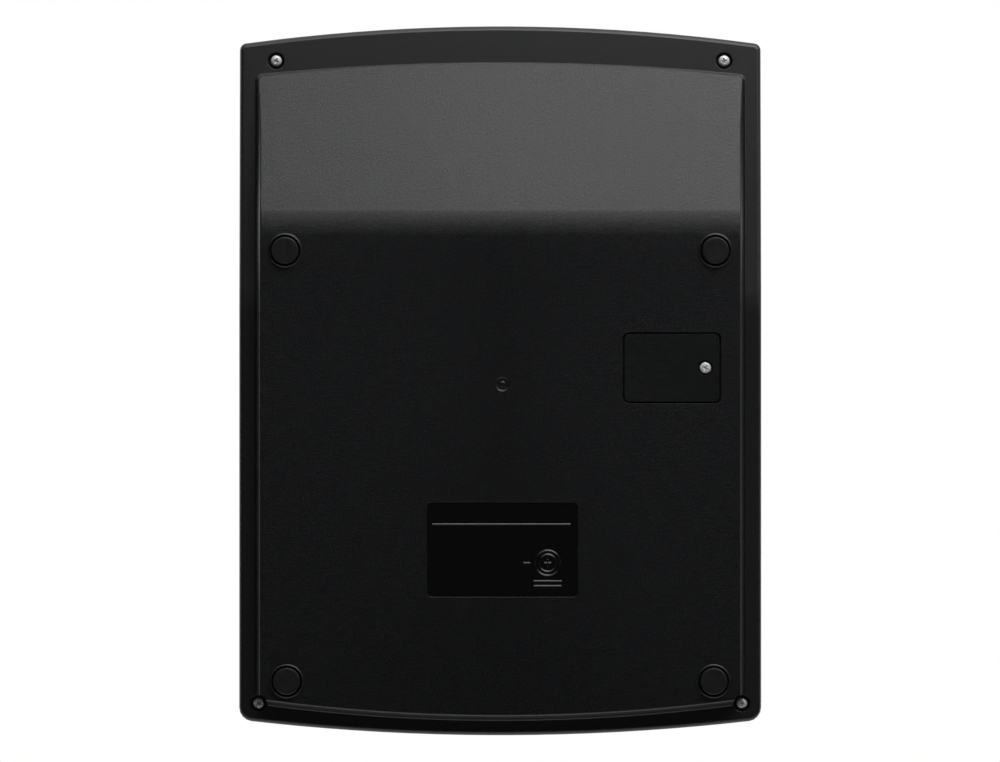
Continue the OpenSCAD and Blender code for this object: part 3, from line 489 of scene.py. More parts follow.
paint(rear_cover,
      black_abs("eroded_black_abs", 0.105, (0.35, 0.44), *MOULD_BLACK, fan=True),
      black_abs("polished_black_abs", 0.001, (0.14, 0.20), (0.0016, 0.0018, 0.0022),
                (0.0026, 0.0029, 0.0034)),
      # painted light: the rim's black is several times lighter than the pan's, so that the rim
      # reads brighter
      black_abs("rim_black_abs", 0.03, (0.29, 0.31), (0.0150, 0.0154, 0.0160),
                (0.0180, 0.0184, 0.0190), streaks=0.1, gloss=0.42))
for face in rear_cover.data.polygons:  # the label's floor has its own finish, and the rim a smoother one whose black is painted lighter as painted light
    x, y, z = face.center / MM
    rim = abs(z - rim_z(y)) < abs(z - pan_z(y)) and face.normal.z < -0.93
    label = (abs(x - LABEL_AT[0]) < LABEL_W / 2 - 0.05 and abs(y - LABEL_AT[1]) < LABEL_L / 2 - 0.05
             and BASE_Z + LABEL_H - 0.03 < z < BASE_Z + 1)
    face.material_index = 2 if rim else int(label)
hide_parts("rear_cover")
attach(rear_cover, "case")


# ---- Label relief ----------------------------------------------------------------------------
# The polished recess for a rating label carries a raised line and, under it, a raised sketch of a
# button cell with its two poles, over two short bars. The mould leaves it bare otherwise.
LINE_Y, LINE_X, BAR_W, RELIEF_H, FLANK = -41.3, (-20.3, 19.6), 0.4, 0.12, 0.08
MARK_AT, MARK_R, SIGN = (-13.6, -52.4), 3.6, 2.2
FLOOR_Z = BASE_Z + LABEL_H


def relief(w, l, x, y):
    """A raised bar on the label's floor with sloping flanks."""
    profile = [(0, 0.06), (0, 0), (-0.12, -FLANK), (-0.16, -RELIEF_H)]
    return stacked("relief", plates(w, l, min(w, l) / 2, profile), level((x, y), FLOOR_Z))


def ring_relief(r):
    """A raised ring round the mark's middle."""
    profile = [(0.2, 0.06), (0.2, 0), (0.08, -FLANK), (0, -RELIEF_H), (-0.08, -FLANK), (-0.2, 0),
               (-0.2, 0.06)]
    return stacked("relief", discs([(r + g, z) for g, z in profile]), level(MARK_AT, FLOOR_Z), True)


mark_x, mark_y = MARK_AT
marks = [relief(LINE_X[1] - LINE_X[0], BAR_W, (LINE_X[0] + LINE_X[1]) / 2, LINE_Y),
         ring_relief(MARK_R), ring_relief(MARK_R * 0.68), relief(SIGN, BAR_W, *MARK_AT),
         relief(BAR_W, SIGN, *MARK_AT), relief(SIGN, BAR_W, mark_x + 6.0, mark_y)]
marks += [relief(8.2, BAR_W, mark_x, mark_y + y) for y in (-5.2, -6.6)]
label_marks = join(marks)
label_marks.name = "label_relief"
soften(label_marks, 40)
paint(label_marks, black_abs("relief_black_abs", 0.004, (0.24, 0.32), *MOULD_BLACK))
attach(label_marks, "case")


# ---- Front case ------------------------------------------------------------------------------
# One moulded shell in black ABS that carries everything: a key deck at 3.5 degrees, a display deck
# at 13 degrees, side walls down to the seam, and the bosses for the case, board and glass screws.
SEAM_STEP, SEAM_CHAMFER, SIDE_WALL, DECK_T, DECK_EDGE_R = 0.2, 0.15, 2.0, 2.4, 1.7
FRONT_H, KEY_TILT, DISPLAY_TILT = 13.5, radians(3.5), radians(13)
BEND_Y = CASE["fore"] + 128.0 * cos(KEY_TILT)
BEND_Z = FRONT_H + (BEND_Y - CASE["fore"]) * tan(KEY_TILT)
BEND_SOFT = 0.24
PITCH_X, PITCH_Y, FIRST_ROW = 22.4, 21.0, 19.0
KEY_W, KEY_L, KEY_R, KEY_GAP = 17.4, 15.5, 2.0, 0.3
SWITCH_X, SWITCH_V, SWITCH_TRAVEL, KNOB_W, KNOB_L = (-40.0, 0.0), 118.6, 4.5, 4.0, 2.6
PANEL_W, PANEL_L, PANEL_T, PANEL_AT = 132.0, 52.0, 1.5, (0, 36.0)
LCD_W, LCD_L, LCD_AT = 104.0, 26.0, (0, 28.0)
SOLAR_W, SOLAR_L, SOLAR_AT = 52.0, 12.0, (33.0, 52.5)
WINDOWS = [(LCD_W, LCD_L, LCD_AT), (SOLAR_W, SOLAR_L, SOLAR_AT)]
BOARD_TOP, BRACKET_TOP, INNER_BOSS_R, INNER_THREAD_R = 5.7, 5.0, 2.2, 0.9
BOARD_SCREW_AT = [(b * PITCH_X, FIRST_ROW + (r + 0.5) * PITCH_Y) for b, r in (
    (-2, 0), (0, 0), (2, 1), (-2, 2), (0, 2), (2, 3), (-1, 3))]  # in the crossings between keys
BRACKET_SCREW_AT = [(u, LCD_AT[1] + v) for u in (-57.5, 57.5) for v in (-12.0, 12.0)]
DARK, PALE, RED = "dark_key", "pale_key", "red_key"
KEYS = []  # name, place on the deck, length, legend and kind of each key, row by row
for row, line in enumerate(("ac:AC 0:0 00:00 point:· plus:+ equals:=", "c:C 1:1 2:2 3:3 - minus:−",
                            "sign:+/− 4:4 5:5 6:6 times:× divide:÷",
                            "root:√ 7:7 8:8 9:9 percent:% gt:GT",
                            "back:► mc:MC mr:MR m_minus:M− m_plus:M+ mu:MU")):
    for column, key in enumerate(line.split()):
        if key != "-":  # the place that the plus key, two rows long, takes up
            name, legend = key.split(":")
            more = PITCH_Y if name == "plus" else 0
            at = ((column - 2.5) * PITCH_X, FIRST_ROW + row * PITCH_Y + more / 2)
            kind = RED if name == "ac" else PALE if legend[0] in "0123456789·" else DARK
            KEYS.append((f"key_{name}", at, KEY_L + more, legend, kind))


def top_z(y, depth=0.0):
    """Height over y of the outer face of both decks, moved in by depth, with a rounded bend."""
    keys = FRONT_H + (y - CASE["fore"]) * tan(KEY_TILT) - depth / cos(KEY_TILT)
    display = BEND_Z + (y - BEND_Y) * tan(DISPLAY_TILT) - depth / cos(DISPLAY_TILT)
    soft = max(BEND_SOFT - abs(keys - display), 0.0)
    return max(keys, display) + soft * soft / (4 * BEND_SOFT)


def tilted(y0, z0, tilt):
    """Places u across a deck, v up it and h square to it; the deck starts at y0, z0."""
    c, s = cos(tilt), sin(tilt)
    return lambda u, v, h: (u, y0 + v * c - h * s, z0 + v * s + h * c)


on_deck = tilted(CASE["fore"], FRONT_H, KEY_TILT)
on_display = tilted(BEND_Y, BEND_Z, DISPLAY_TILT)


def upon(deck, at, h0=0.0, up=1):
    """Places a piece's own frame at a spot of a deck, h0 over it; up = -1 is into the deck."""
    return lambda u, v, z: deck(at[0] + u, at[1] + v, h0 + up * z)


def sunk(deck, at):
    return upon(deck, at, up=-1)


skin = [flat_ring(CASE, SEAM_STEP + SEAM_CHAMFER, seam_z),
        flat_ring(CASE, SEAM_STEP, lambda y: seam_z(y) + SEAM_CHAMFER)]
skin += [flat_ring(CASE, SEAM_STEP + DECK_EDGE_R * (1 - cos(a)),
                   lambda y, s=sin(a): top_z(y) - DECK_EDGE_R * (1 - s)) for a in quarter(7)]
front_case = shell("front_case_shell", skin, seam_z, top_z)
below_seam, deck_roof = lambda y: seam_z(y) - 1, lambda y: top_z(y, DECK_T)
hollow = shell("hollow", [flat_ring(CASE, SEAM_STEP + SIDE_WALL, height)
                          for height in (below_seam, deck_roof)], below_seam, deck_roof)
inner_bosses = [(sunk(on_deck, at), BOARD_TOP, 2.85) for at in BOARD_SCREW_AT]
inner_bosses += [(sunk(on_display, at), BRACKET_TOP, 2.55) for at in BRACKET_SCREW_AT]
bosses = [rod("boss", BOSS_R, 0, 45, on_seam(at), 32) for at in SCREWS]
bosses += [rod("boss", INNER_BOSS_R, 1.0, top, place, 32) for place, top, _ in inner_bosses]
combine(hollow, [join(bosses)])
combine(front_case, [hollow])

cuts = [stacked("key_opening", plates(KEY_W + 2 * KEY_GAP, length + 2 * KEY_GAP, KEY_R + KEY_GAP,
                                      lip(DECK_T + 0.8, 0.3)), sunk(on_deck, at))
        for _, at, length, _, _ in KEYS]
cuts += [stacked("switch_slot", plates(KNOB_W + 2 * (SWITCH_TRAVEL + KEY_GAP), KNOB_L + 2 * KEY_GAP,
                                       0.6, lip(DECK_T + 0.8, 0.2)), sunk(on_deck, (x, SWITCH_V)))
         for x in SWITCH_X]
cuts.append(stacked("panel_recess", plates(PANEL_W + 0.3, PANEL_L + 0.3, 2.0, lip(PANEL_T, 0.2)),
                    sunk(on_display, PANEL_AT)))
openings = [stacked("window_opening", plates(w, l, 1.0, [(0, 1.0), (0, 3.2)]), sunk(on_display, at))
            for w, l, at in WINDOWS]
threads = [rod("thread", INNER_THREAD_R, bottom, top + 1, place, 20)
           for place, top, bottom in inner_bosses]
threads += [rod("thread", THREAD_R, 0, rim_z(at[1]) + COUNTERBORE_H + 5.05, level(at))
            for at in SCREWS]
combine(front_case, [join(cuts), join(openings), join(threads)])
soften(front_case)
paint(front_case, black_abs("satin_black_abs", 0.010, (0.34, 0.44), (0.0085, 0.0085, 0.0090),
                            (0.0125, 0.0125, 0.0130)))
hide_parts("front_case")
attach(front_case, "case")


# ---- Keys ------------------------------------------------------------------------------------
# Twenty-nine hollow ABS caps, each with a flange that stops it under the deck and a plunger on the
# key mat. Their faces are dished for the fingertip, and the legends are moulded in a second colour.
KEY_H, KEY_WALL, KEY_FLANGE, KEY_ROOF, PLUNGER_R = 3.2, 1.0, 0.8, 1.5, 2.5
FLANGE_TOP, FLANGE_BOTTOM = 2.45, 3.45
KEY_TAPER, KEY_EDGE_R, KEY_DISH = 0.35, 0.8, 0.42
LEGEND_SIZE = {1: 9.0, 2: 7.2, 3: 5.6}  # by the number of characters


def key_face(u, v, length):
    """Height of a key's dished face over the deck."""
    half_u, half_v = KEY_W / 2 - KEY_TAPER - KEY_EDGE_R, length / 2 - KEY_TAPER - KEY_EDGE_R
    reach_v = max(abs(v) - max(half_v - half_u, 0), 0) / min(half_u, half_v)
    s = min(hypot(u / half_u, reach_v), 1.0)
    return KEY_H - KEY_DISH * (1 - s * s) ** 2


def key_ring(length, grow, r, steps=6, extra=6):
    """A key's outline moved out by grow, with extra points along its straight sides."""
    points = round_plate(KEY_W + 2 * grow, length + 2 * grow, r, steps)
    made = []
    for i, (u, v) in enumerate(points):
        made.append((u, v))
        if i % (steps + 1) == steps:
            to = points[(i + 1) % len(points)]
            made += [(u + (to[0] - u) * k / (extra + 1), v + (to[1] - v) * k / (extra + 1))
                     for k in range(1, extra + 1)]
    return made


ROOT_SIGN = [(-0.48, 0.02), (-0.30, 0.10), (-0.12, -0.27), (0.11, 0.44), (0.52, 0.44), (0.52, 0.35),
             (0.18, 0.35), (-0.08, -0.46), (-0.15, -0.46), (-0.345, -0.03), (-0.455, -0.07)]


def lettering(name, text, size, place, thick=0.12):
    """Raised characters about the origin of a face; place turns its frame into the case's."""
    if text == "√":
        outline = [(u * size * 0.62, v * size * 0.62) for u, v in ROOT_SIGN]
        return stacked(name, slab(outline, -thick / 2, thick / 2), place)
    curve = bpy.data.curves.new(name, "FONT")
    curve.body, curve.size, curve.align_x, curve.align_y = text, size, "CENTER", "CENTER"
    curve.resolution_u, curve.extrude = 3, thick / 2
    words = placed(name, curve)
    bpy.context.view_layer.update()
    data = bpy.data.meshes.new_from_object(
        words.evaluated_get(bpy.context.evaluated_depsgraph_get()))
    bpy.data.objects.remove(words)
    bpy.data.curves.remove(curve)
    middle = [(min(side) + max(side)) / 2 for side in zip(*[v.co[:2] for v in data.vertices])]
    for v in data.vertices:
        v.co = [c * MM for c in place(v.co.x - middle[0], v.co.y - middle[1], v.co.z)]
    return placed(name, data)


def patchy(name, low, high, rough, patch, worn=None, fine=None, depth=0, strength=1,
           tone=(0.3, 0.7), **sockets):
    """A finish whose colour follows the cloud patch, its roughness the cloud worn or the same one,
    and its relief the cloud fine; sockets are further even values of the surface."""
    material, shader, place = finish_of(name)
    spots = cloud(place, *patch)
    if fine:
        sockets["Normal"] = bump(cloud(place, *fine), depth, strength)
    feed(shader, Base_Color=shades(span(spots, 0, 1, *tone), low, high),
         Roughness=span(cloud(place, *worn) if worn else spots, *rough), **sockets)
    return material


def coloured_plastic(name, low, high, rough=(0.30, 0.42), depth=0.006):
    return patchy(name, low, high, rough, patch=(7.0,), fine=(0.16,), depth=depth, strength=0.7,
                  IOR=1.52)


KEY_PLASTIC = {
    PALE: coloured_plastic("pale_key_abs", (0.50, 0.51, 0.50), (0.56, 0.57, 0.555)),
    DARK: coloured_plastic("dark_key_abs", (0.052, 0.055, 0.062), (0.066, 0.070, 0.078)),
    RED: coloured_plastic("red_key_abs", (0.40, 0.030, 0.020), (0.47, 0.042, 0.027))}
LEGEND = {PALE: coloured_plastic("dark_legend", (0.020, 0.021, 0.024), (0.028, 0.029, 0.033)),
          DARK: coloured_plastic("white_legend", (0.72, 0.72, 0.70), (0.80, 0.80, 0.78))}
LEGEND[RED] = LEGEND[DARK]

for name, at, length, legend, kind in KEYS:
    inner = key_ring(length, -KEY_WALL, KEY_R - KEY_WALL / 2)
    turns = [atan2(v / length, u / KEY_W) for u, v in inner]
    plunger, foot = ([(r * cos(a), r * sin(a)) for a in turns]
                     for r in (PLUNGER_R, PLUNGER_R * 1.12))
    flange = key_ring(length, KEY_FLANGE, KEY_R)
    roof = KEY_H - KEY_ROOF
    stack = [(plunger, -FLANGE_BOTTOM), (plunger, roof - 0.3), (foot, roof), (inner, roof),
             (inner, -FLANGE_BOTTOM), (flange, -FLANGE_BOTTOM), (flange, -FLANGE_TOP)]
    stack += [(key_ring(length, -g, KEY_R), h)
              for g, h in ((0.0, -FLANGE_TOP), (0.0, -0.6), (KEY_TAPER, KEY_H - KEY_EDGE_R))]
    for a in quarter(5)[1:]:
        inset = KEY_TAPER + KEY_EDGE_R * (1 - cos(a))
        stack.append((key_ring(length, -inset, max(KEY_R - inset, 0.6)),
                      KEY_H - KEY_EDGE_R * (1 - sin(a))))
    mesh = bmesh.new()
    rings = [[(u, v, h) for u, v in points] for points, h in stack]
    spine = max((length - KEY_W) / 2, 0)  # a long key's dish runs along this much of its middle
    for share in (0.9, 0.78, 0.62, 0.45, 0.28, 0.12):
        ring = [(u * share, v * share + copysign(min(abs(v), spine), v) * (1 - share))
                for u, v in stack[-1][0]]
        rings.append([(u, v, key_face(u, v, length)) for u, v in ring])
    made = loft(mesh, [[on_deck(at[0] + u, at[1] + v, h) for u, v, h in ring] for ring in rings])
    mesh.faces.new(made[0])
    mesh.faces.new(made[-1])
    cap = solid(f"{name}_cap", mesh)
    soften(cap, 35)
    paint(cap, KEY_PLASTIC[kind])
    words = lettering(f"{name}_legend", legend, LEGEND_SIZE[len(legend)],
                      lambda u, v, h: on_deck(at[0] + u, at[1] + v, key_face(u, v, length) + h))
    paint(words, LEGEND[kind])
    join([cap, words])
    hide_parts(name)
    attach(cap, name)


# ---- Battery door ----------------------------------------------------------------------------
# A flat plate in the same black ABS, flush with the pan, located by two pegs and held by one screw
# whose head sits in a shallow round recess.


def eased(name, width, finish, segments=2):
    """A merged copy of a CAD node's mesh, its edges a little rounded as moulding leaves them."""
    made = placed(f"{name}_eased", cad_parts[name].data.copy())
    mesh = bmesh.new()
    mesh.from_mesh(made.data)
    bmesh.ops.remove_doubles(mesh, verts=mesh.verts, dist=2e-6)
    bmesh.ops.dissolve_limit(mesh, angle_limit=radians(1.0), verts=mesh.verts, edges=mesh.edges)
    mesh.to_mesh(made.data)
    mesh.free()
    round_off = made.modifiers.new("round_off", "BEVEL")
    round_off.width, round_off.segments = width * MM, segments
    round_off.limit_method, round_off.angle_limit = "ANGLE", radians(35)
    settle(made)
    soften(made, 32)
    paint(made, finish)
    return made


door = eased("battery_door", 0.07, black_abs("door_black_abs", 0.05, (0.35, 0.44),
                                             (0.0020, 0.0026, 0.0026), (0.0044, 0.0052, 0.0052)))
for v in door.data.vertices:  # the moulded door is a little smaller than its opening
    for k, half in ((0, DOOR_W / 2), (1, DOOR_L / 2)):
        off = v.co[k] / MM - DOOR_AT[k]
        if abs(off) > half - 1.4:
            v.co[k] -= copysign(0.20 * MM, off)
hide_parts("battery_door")
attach(door, "battery_door")


# ---- Screws ----------------------------------------------------------------------------------
# Nickel-plated pan-head screws with a cross recess: four in the rim, one that stays in the door,
# and eleven small ones inside that hold the board and the display bracket.
HEAD_R, BOARD_T, BRACKET_T = 1.6, 1.2, 1.4


def screw_piece(name, head_h, shank_r, length, pitch=0.8):
    """One screw about the origin: seat of the head at z = 0, head below it, thread above."""
    profile = [(HEAD_R * cos(a), -head_h * (0.35 + 0.65 * sin(a)))
               for a in [radians(d) for d in (80, 68, 54, 40, 26, 12, 0)]]
    profile += [(HEAD_R, -0.08), (HEAD_R - 0.08, 0.0), (shank_r, 0.0)]
    root = shank_r * 0.80
    for i in range(int((length - 0.8) / pitch)):
        z = 0.3 + i * pitch
        profile += [(root, z), (shank_r, z + pitch * 0.45), (root, z + pitch * 0.9)]
    profile += [(shank_r * 0.75, length - 0.4), (shank_r * 0.35, length)]
    made = stacked(name, discs(profile, 32))
    w, t = HEAD_R * 0.64, HEAD_R * 0.19
    ends = ((2.30, -head_h - 0.3), (0.84, -head_h * 0.1))  # the wings taper into the head
    combine(made, [stacked("wing", [(oblong(x * k, y * k), z) for k, z in ends])
                   for x, y in ((w, t), (t, w))])
    soften(made, 40)
    return made


def geometry_tree(name, inputs, kinds, links):
    """A Geometry Nodes tree from its inputs, its nodes with their settings, and what is linked."""
    tree = bpy.data.node_groups.new(name, "GeometryNodeTree")
    for socket, kind in {"Geometry": "Geometry", **inputs}.items():
        tree.interface.new_socket(socket, in_out="INPUT", socket_type=f"NodeSocket{kind}")
    tree.interface.new_socket("Geometry", in_out="OUTPUT", socket_type="NodeSocketGeometry")
    nodes = {"given": tree.nodes.new("NodeGroupInput"), "result": tree.nodes.new("NodeGroupOutput")}
    last = [("real", "RealizeInstances", {}), ("paint", "SetMaterial", {})]
    for key, kind, settings in kinds + last:
        nodes[key] = tree.nodes.new(kind if "Node" in kind else f"GeometryNode{kind}")
        for setting, value in settings.items():
            if setting in nodes[key].inputs:
                nodes[key].inputs[setting].default_value = value
            else:
                setattr(nodes[key], setting, value)
    for source, output, target, socket in links + [("real", 0, "paint", "Geometry"), (
            "given", "Finish", "paint", "Material"), ("paint", 0, "result", 0)]:
        tree.links.new(nodes[source].outputs[output], nodes[target].inputs[socket])
    return tree


def grown(name, points, edges, tree, **inputs):
    """Points and edges in millimetres, with a tree and its inputs as their modifier."""
    data = bpy.data.meshes.new(name)
    data.from_pydata([[c * MM for c in point] for point in points], edges, [])
    made = placed(name, data)
    step = made.modifiers.new("grow", "NODES")
    step.node_group = tree
    for socket in tree.interface.items_tree:
        if socket.in_out == "INPUT" and socket.name in inputs:
            step[socket.identifier] = inputs[socket.name]
    return made


REPEAT = geometry_tree(
    "repeat_a_piece", {"Piece": "Object", "Size": "Float", "Finish": "Material"},
    [("turn", "InputNamedAttribute", {"data_type": "FLOAT_VECTOR", "Name": "turn"}),
     ("piece", "ObjectInfo", {}), ("put", "InstanceOnPoints", {}),
     ("rotation", "FunctionNodeEulerToRotation", {})],
    [("given", "Piece", "piece", "Object"), ("given", "Geometry", "put", "Points"),
     ("piece", "Geometry", "put", "Instance"), ("turn", 0, "rotation", 0),
     ("rotation", 0, "put", "Rotation"), ("given", "Size", "put", "Scale"), ("put", 0, "real", 0)])


def repeated(name, piece, spots, finish):
    """A mesh of the piece at each spot ((x, y, z) in millimetres, turn); removes the piece."""
    made = grown(name, [at for at, _ in spots], [], REPEAT, Piece=piece, Size=1.0, Finish=finish)
    made.data.attributes.new("turn", "FLOAT_VECTOR", "POINT").data.foreach_set(
        "vector", [c for _, turn in spots for c in turn])
    settle(made)
    bpy.data.objects.remove(piece)
    return made


def bright_metal(name, low, high, rough=(0.22, 0.38), scratch=0.5, metallic=1.0):
    """Plated or bare metal with fine hair scratches."""
    return patchy(name, low, high, rough, patch=(0.5, 4.0, 0.7), fine=(0.12, 2.0, 0.5, (6, 1, 1)),
                  depth=0.004, strength=scratch, Metallic=metallic)


NICKEL = bright_metal("nickel_plate", (0.74, 0.75, 0.76), (0.98, 0.98, 0.98), (0.30, 0.46),
                      scratch=1.0, metallic=0.15)
case_screws = repeated("case_screw_set",
                       screw_piece("case_screw", head_h=1.3, shank_r=1.1, length=5.0),
                       [((x, y, rim_z(y) + COUNTERBORE_H), (0, 0, turn))
                        for (x, y), turn in zip(SCREWS, (0.4, -0.3, 0.75, 0.2))], NICKEL)
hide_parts("case_screws")
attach(case_screws, "case")

door_screw = repeated("door_screw_piece",
                      screw_piece("door_screw", head_h=0.75, shank_r=1.1, length=5.0),
                      [((*DOOR_SCREW_AT, BASE_Z + 0.8), (0, 0, 0.55))], NICKEL)
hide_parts("door_screw")
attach(door_screw, "battery_door")

spots = [(deck(u, v, -depth), (tilt, 0, u)) for deck, tilt, depth, places in (
    (on_deck, KEY_TILT, BOARD_TOP + BOARD_T, BOARD_SCREW_AT),
    (on_display, DISPLAY_TILT, BRACKET_TOP + BRACKET_T, BRACKET_SCREW_AT)) for u, v in places]
inner_screws = repeated(
    "inner_screw_set", screw_piece("inner_screw", head_h=1.2, shank_r=0.85, length=3.8, pitch=0.6),
    spots, NICKEL)
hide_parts("inner_screws")
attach(inner_screws, "case")


# ---- Feet ------------------------------------------------------------------------------------
# Four discs of matt black rubber, pressed and glued into the ringed pockets of the pan. Their
# edges are rounded and their faces a little hollow from moulding.
FOOT_R = 3.85
BLACK_RUBBER = patchy("black_rubber", (0.0022, 0.0025, 0.0027), (0.0048, 0.0052, 0.0054),
                      rough=(0.5, 0.62), patch=(2.2, 3.0), fine=(0.3, 4.0, 0.7), depth=0.02,
                      strength=0.6, tone=(0.35, 0.75), IOR=1.45)
edge = [(1.2, 0.06), (2.6, 0.03), (FOOT_R - 0.42, 0.0), (FOOT_R - 0.24, 0.03),
        (FOOT_R - 0.08, 0.13), (FOOT_R, 0.32), (FOOT_R, 2.3), (FOOT_R - 0.2, 2.6)]
disc = stacked("foot_disc", discs(edge, 56))
soften(disc, 40)
feet = repeated("rubber_feet", disc, [((x, y, 0.0), (0, 0, 0)) for x, y in FEET], BLACK_RUBBER)
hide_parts("foot_rear_left", "foot_rear_right", "foot_front_left", "foot_front_right")
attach(feet, "case")


# ---- Display panel ---------------------------------------------------------------------------
# A clear acrylic plate flush in the display deck, printed black on its back except for the two
# windows over the liquid crystal and the solar cell, each with a fine silver line round it.
PRINT_T, CLEAR_BOTTOM, PRINT_MARGIN = 0.05, -1.44, 0.01
WINDOW_LAP, LINE_OUTER, LINE_INNER = 2.0, 0.6, 0.1


def clear_where(shader, factor, colour):
    """Lets light of a colour straight through a surface where the factor is 1."""
    clear = node(shader, "BsdfTransparent", Color=colour).outputs[0]
    mixed = node(shader, "MixShader", _0=factor, _1=shader.outputs[0], _2=clear).outputs[0]
    feed(shader.id_data.nodes["Material Output"], Surface=mixed)


CLEAR, shader, place = finish_of("clear_acrylic")
feed(shader, Base_Color=(0.98, 0.985, 0.98, 1), Roughness=span(cloud(place, 18.0), 0.0, 0.012),
     IOR=1.49, Transmission_Weight=1.0)
shadow_ray = node(shader, "LightPath").outputs["Is Shadow Ray"]  # it lets the lamps through
clear_where(shader, shadow_ray, (0.92, 0.93, 0.92, 1))
panel = stacked("clear_panel_plate", plates(PANEL_W, PANEL_L, 1.85, [
    (-0.1, CLEAR_BOTTOM), (0, CLEAR_BOTTOM + 0.1), (0, -0.25), (-0.07, -0.08), (-0.25, 0.0)]),
    upon(on_display, PANEL_AT))
soften(panel, 30)
paint(panel, CLEAR)
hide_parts("display_panel")
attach(panel, "case")

ink = stacked("black_print", plates(PANEL_W - 0.4, PANEL_L - 0.4, 1.6, [
    (0, CLEAR_BOTTOM - PRINT_T), (0, CLEAR_BOTTOM - PRINT_MARGIN)]), upon(on_display, PANEL_AT))
combine(ink, [stacked("window", plates(w - WINDOW_LAP, l - WINDOW_LAP, 0.8, [(0, -2.0), (0, -1.0)]),
                      upon(on_display, at)) for w, l, at in WINDOWS])
soften(ink, 30)
paint(ink, coloured_plastic("black_ink", (0.008, 0.008, 0.009), (0.012, 0.012, 0.013), (0.40, 0.46),
                            0.0003))
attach(ink, "case")

lines = []
for w, l, at in WINDOWS:
    outer = round_plate(w + LINE_OUTER, l + LINE_OUTER, 1.6)
    inner = round_plate(w + LINE_INNER, l + LINE_INNER, 1.4)
    lines.append(stacked("window_line", slab(outer, -PRINT_MARGIN, PRINT_MARGIN) +
                         slab(inner, PRINT_MARGIN, -PRINT_MARGIN),
                         upon(on_display, at, CLEAR_BOTTOM), hoop=True))
silver_lines = join(lines)
silver_lines.name = "silver_window_lines"
paint(silver_lines, bright_metal("silver_ink", (0.46, 0.46, 0.47), (0.56, 0.56, 0.57), (0.38, 0.5),
                                 0.2))
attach(silver_lines, "case")


# ---- Liquid crystal --------------------------------------------------------------------------
# Two glasses with the crystal between them and a grey-green reflector behind. Its digits are made
# of seven strokes each; only a nought and its point are switched on.
DIGIT_AT, DIGIT_W, DIGIT_H, LEAN = (43.95, LCD_AT[1] - 0.5), 4.7, 11.5, 0.09
STROKE, STROKE_GAP, POINT_R, POINT_OFF = 1.05, 0.14, 0.62, 1.6
LCD_FACE, INK_T = -DECK_T + 0.01, 0.02


def dress(node_name, material):
    """Gives a CAD node a better finish."""
    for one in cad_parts[node_name].material_slots:
        one.material = material


def stroke(x, y, length, upright):
    """Outline of one stroke of a digit, pointed at both ends."""
    r, t = length / 2 - STROKE_GAP, STROKE / 2
    flat = [(-r, 0), (-r + t, -t), (r - t, -t), (r, 0), (r - t, t), (-r + t, t)]
    return [(x - q, y + p) if upright else (x + p, y + q) for p, q in flat]


dress("lcd_glass", patchy("grey_green_crystal", (0.300, 0.335, 0.270), (0.330, 0.366, 0.298),
                          rough=(0.22, 0.30), patch=(14.0,), worn=(0.14, 1.0), fine=(0.14, 1.0),
                          depth=0.002, strength=0.3, Coat_Weight=0.4, Coat_Roughness=0.08))
half_w, half_h = DIGIT_W / 2, DIGIT_H / 2
strokes = [stroke(0, y, DIGIT_W, False) for y in (-half_h, half_h)]
strokes += [stroke(x, y / 2, half_h, True) for x in (-half_w, half_w) for y in (-half_h, half_h)]
strokes += [[(half_w + POINT_OFF + x, y - half_h) for x, y in discs([(POINT_R, 0)], 16)[0][0]]]
shown = join([stacked("stroke", slab([(x + LEAN * y, y) for x, y in outline], 0, INK_T),
                      upon(on_display, DIGIT_AT, LCD_FACE)) for outline in strokes])
shown.name = "lcd_lit_digits"
paint(shown, coloured_plastic("dark_segments", (0.016, 0.018, 0.018), (0.022, 0.024, 0.024),
                              (0.24, 0.32), 0.001))
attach(shown, "case")


# ---- Solar cell ------------------------------------------------------------------------------
# Dark brown amorphous silicon on a glass plate, cut into five strips by fine bright lines.
STRIPS, GRID_LINE_W = 5, 0.28
dress("solar_cell", patchy("amorphous_silicon", (0.030, 0.014, 0.017), (0.046, 0.022, 0.028),
                           rough=(0.30, 0.36), patch=(9.0, 2.0, 0.5, (1, 0.6, 1)), worn=(1.5,),
                           Coat_Weight=0.6, Coat_Roughness=0.05))
bar = stacked("grid_line", slab(round_plate(GRID_LINE_W, SOLAR_L + 2.4, 0.1, 2), 0.0, INK_T))
lines = repeated("solar_grid_lines", bar, [
    (on_display(SOLAR_AT[0] + (i / STRIPS - 0.5) * (SOLAR_W + 1), SOLAR_AT[1], LCD_FACE),
     (DISPLAY_TILT, 0, 0)) for i in range(1, STRIPS)],
    bright_metal("grid_metal", (0.30, 0.26, 0.25), (0.40, 0.36, 0.34), (0.3, 0.45), 0.2))
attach(lines, "case")


